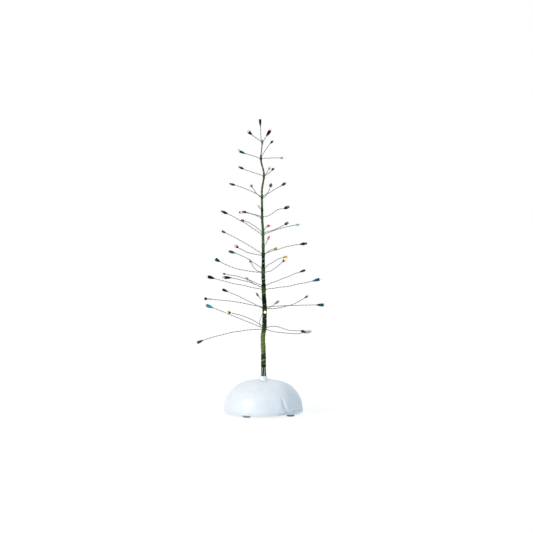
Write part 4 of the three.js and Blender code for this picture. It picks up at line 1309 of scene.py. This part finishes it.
# A slack turn of one lead that stands off the stem: places seen from the tree's front
looseLoop = [(-1.3, -1.4, 103), (-2.3, -1.3, 100.5), (-3.5, -1.2, 97.6), (-4.1, -1.2, 94.8),
             (-3.7, -1.2, 92), (-2.6, -1.2, 89.8), (-1.3, -1.3, 88.2)]
looseWire = {"radius": 0.28, "steps": 6, "sides": 8}


def makeLooseLoop():
    # a smooth curve through the places
    places = [Vector(place) for place in looseLoop]
    last, steps = len(places) - 1, looseWire["steps"]
    path = []
    for i in range(last):
        before, low, high, after = (places[clip(j, 0, last)] for j in range(i - 1, i + 3))
        for k in range(steps):
            share = k / steps
            place = low.lerp(high, share)
            place += ((low - before) - (high - low)) * share * (1 - share) ** 2 / 2
            place += ((high - low) - (after - high)) * (1 - share) * share ** 2 / 2
            path.append(spot(*place))
    path.append(spot(*looseLoop[-1]))
    piece = sweepAll("loose_lead", [(path, looseWire["radius"] * mm, 0)], looseWire["sides"])
    finishPiece(piece, skins=[strandTones[0]])


makeLooseLoop()
print("lamps are hung")


# Floor, background and light
studio = {"floorSize": 12, "paper": "#e0eef4", "shownPaper": "#7b7b7b", "shownLift": 0.86,
          "sky": "#d8ecf8", "skyStrength": 0.36}


def shownRays(add):
    # one for rays from the camera, from a reflection or through glass
    rays = add("LightPath").outputs
    shown = rays["Is Camera Ray"]
    for kind in ("Is Glossy Ray", "Is Transmission Ray"):
        shown = add("Math", {0: shown, 1: rays[kind]}, operation="MAXIMUM")
    return shown


def makeFloor():
    bpy.ops.object.select_all(action="DESELECT")
    bpy.ops.mesh.primitive_plane_add(size=studio["floorSize"])
    floor = bpy.context.object
    floor.name = "floor"
    material = bpy.data.materials.new("floorPaper")
    add = startTree(material)
    paper = add("BsdfDiffuse", {"Color": paint(studio["paper"])})
    shown = add("BsdfDiffuse", {"Color": paint(studio["shownPaper"])})
    lift = add("Emission", {"Color": paint("#ffffff"), "Strength": studio["shownLift"]})
    lifted = add("AddShader", {0: shown, 1: lift})
    both = add("MixShader", {0: shownRays(add), 1: paper, 2: lifted})
    add("OutputMaterial", {"Surface": both})
    floor.data.materials.append(material)


def makeSky():
    scene.world = bpy.data.worlds.new("sky")
    add = startTree(scene.world)
    light = add("Background", {"Color": paint(studio["sky"]), "Strength": studio["skyStrength"]})
    shown = add("Background", {"Color": paint("#ffffff"), "Strength": 1.0})
    both = add("MixShader", {0: shownRays(add), 1: light, 2: shown})
    add("OutputWorld", {"Surface": both})


def softLight(name, place, spread, strength, code):
    # even light from far off, from the direction of a place. Spread in degrees, and a strength
    # of 1 renders a surface that faces it as its colour is written
    light = bpy.data.lights.new(name, "SUN")
    light.angle = math.radians(spread)
    light.energy = strength * math.pi
    light.color = paint(code)[:3]
    lamp = bpy.data.objects.new(name, light)
    scene.collection.objects.link(lamp)
    lamp.location = spot(*place)
    lamp.rotation_euler = (-lamp.location).to_track_quat("-Z", "Y").to_euler()


makeFloor()
makeSky()
softLight("key", (-1065, -895, 560), 28, 0.69, "#fff1e9")
softLight("front", (905, -760, 920), 35, 0.2, "#fbfdff")
softLight("back", (150, 850, 1230), 45, 0.18, "#ffffff")
print("studio is lit")
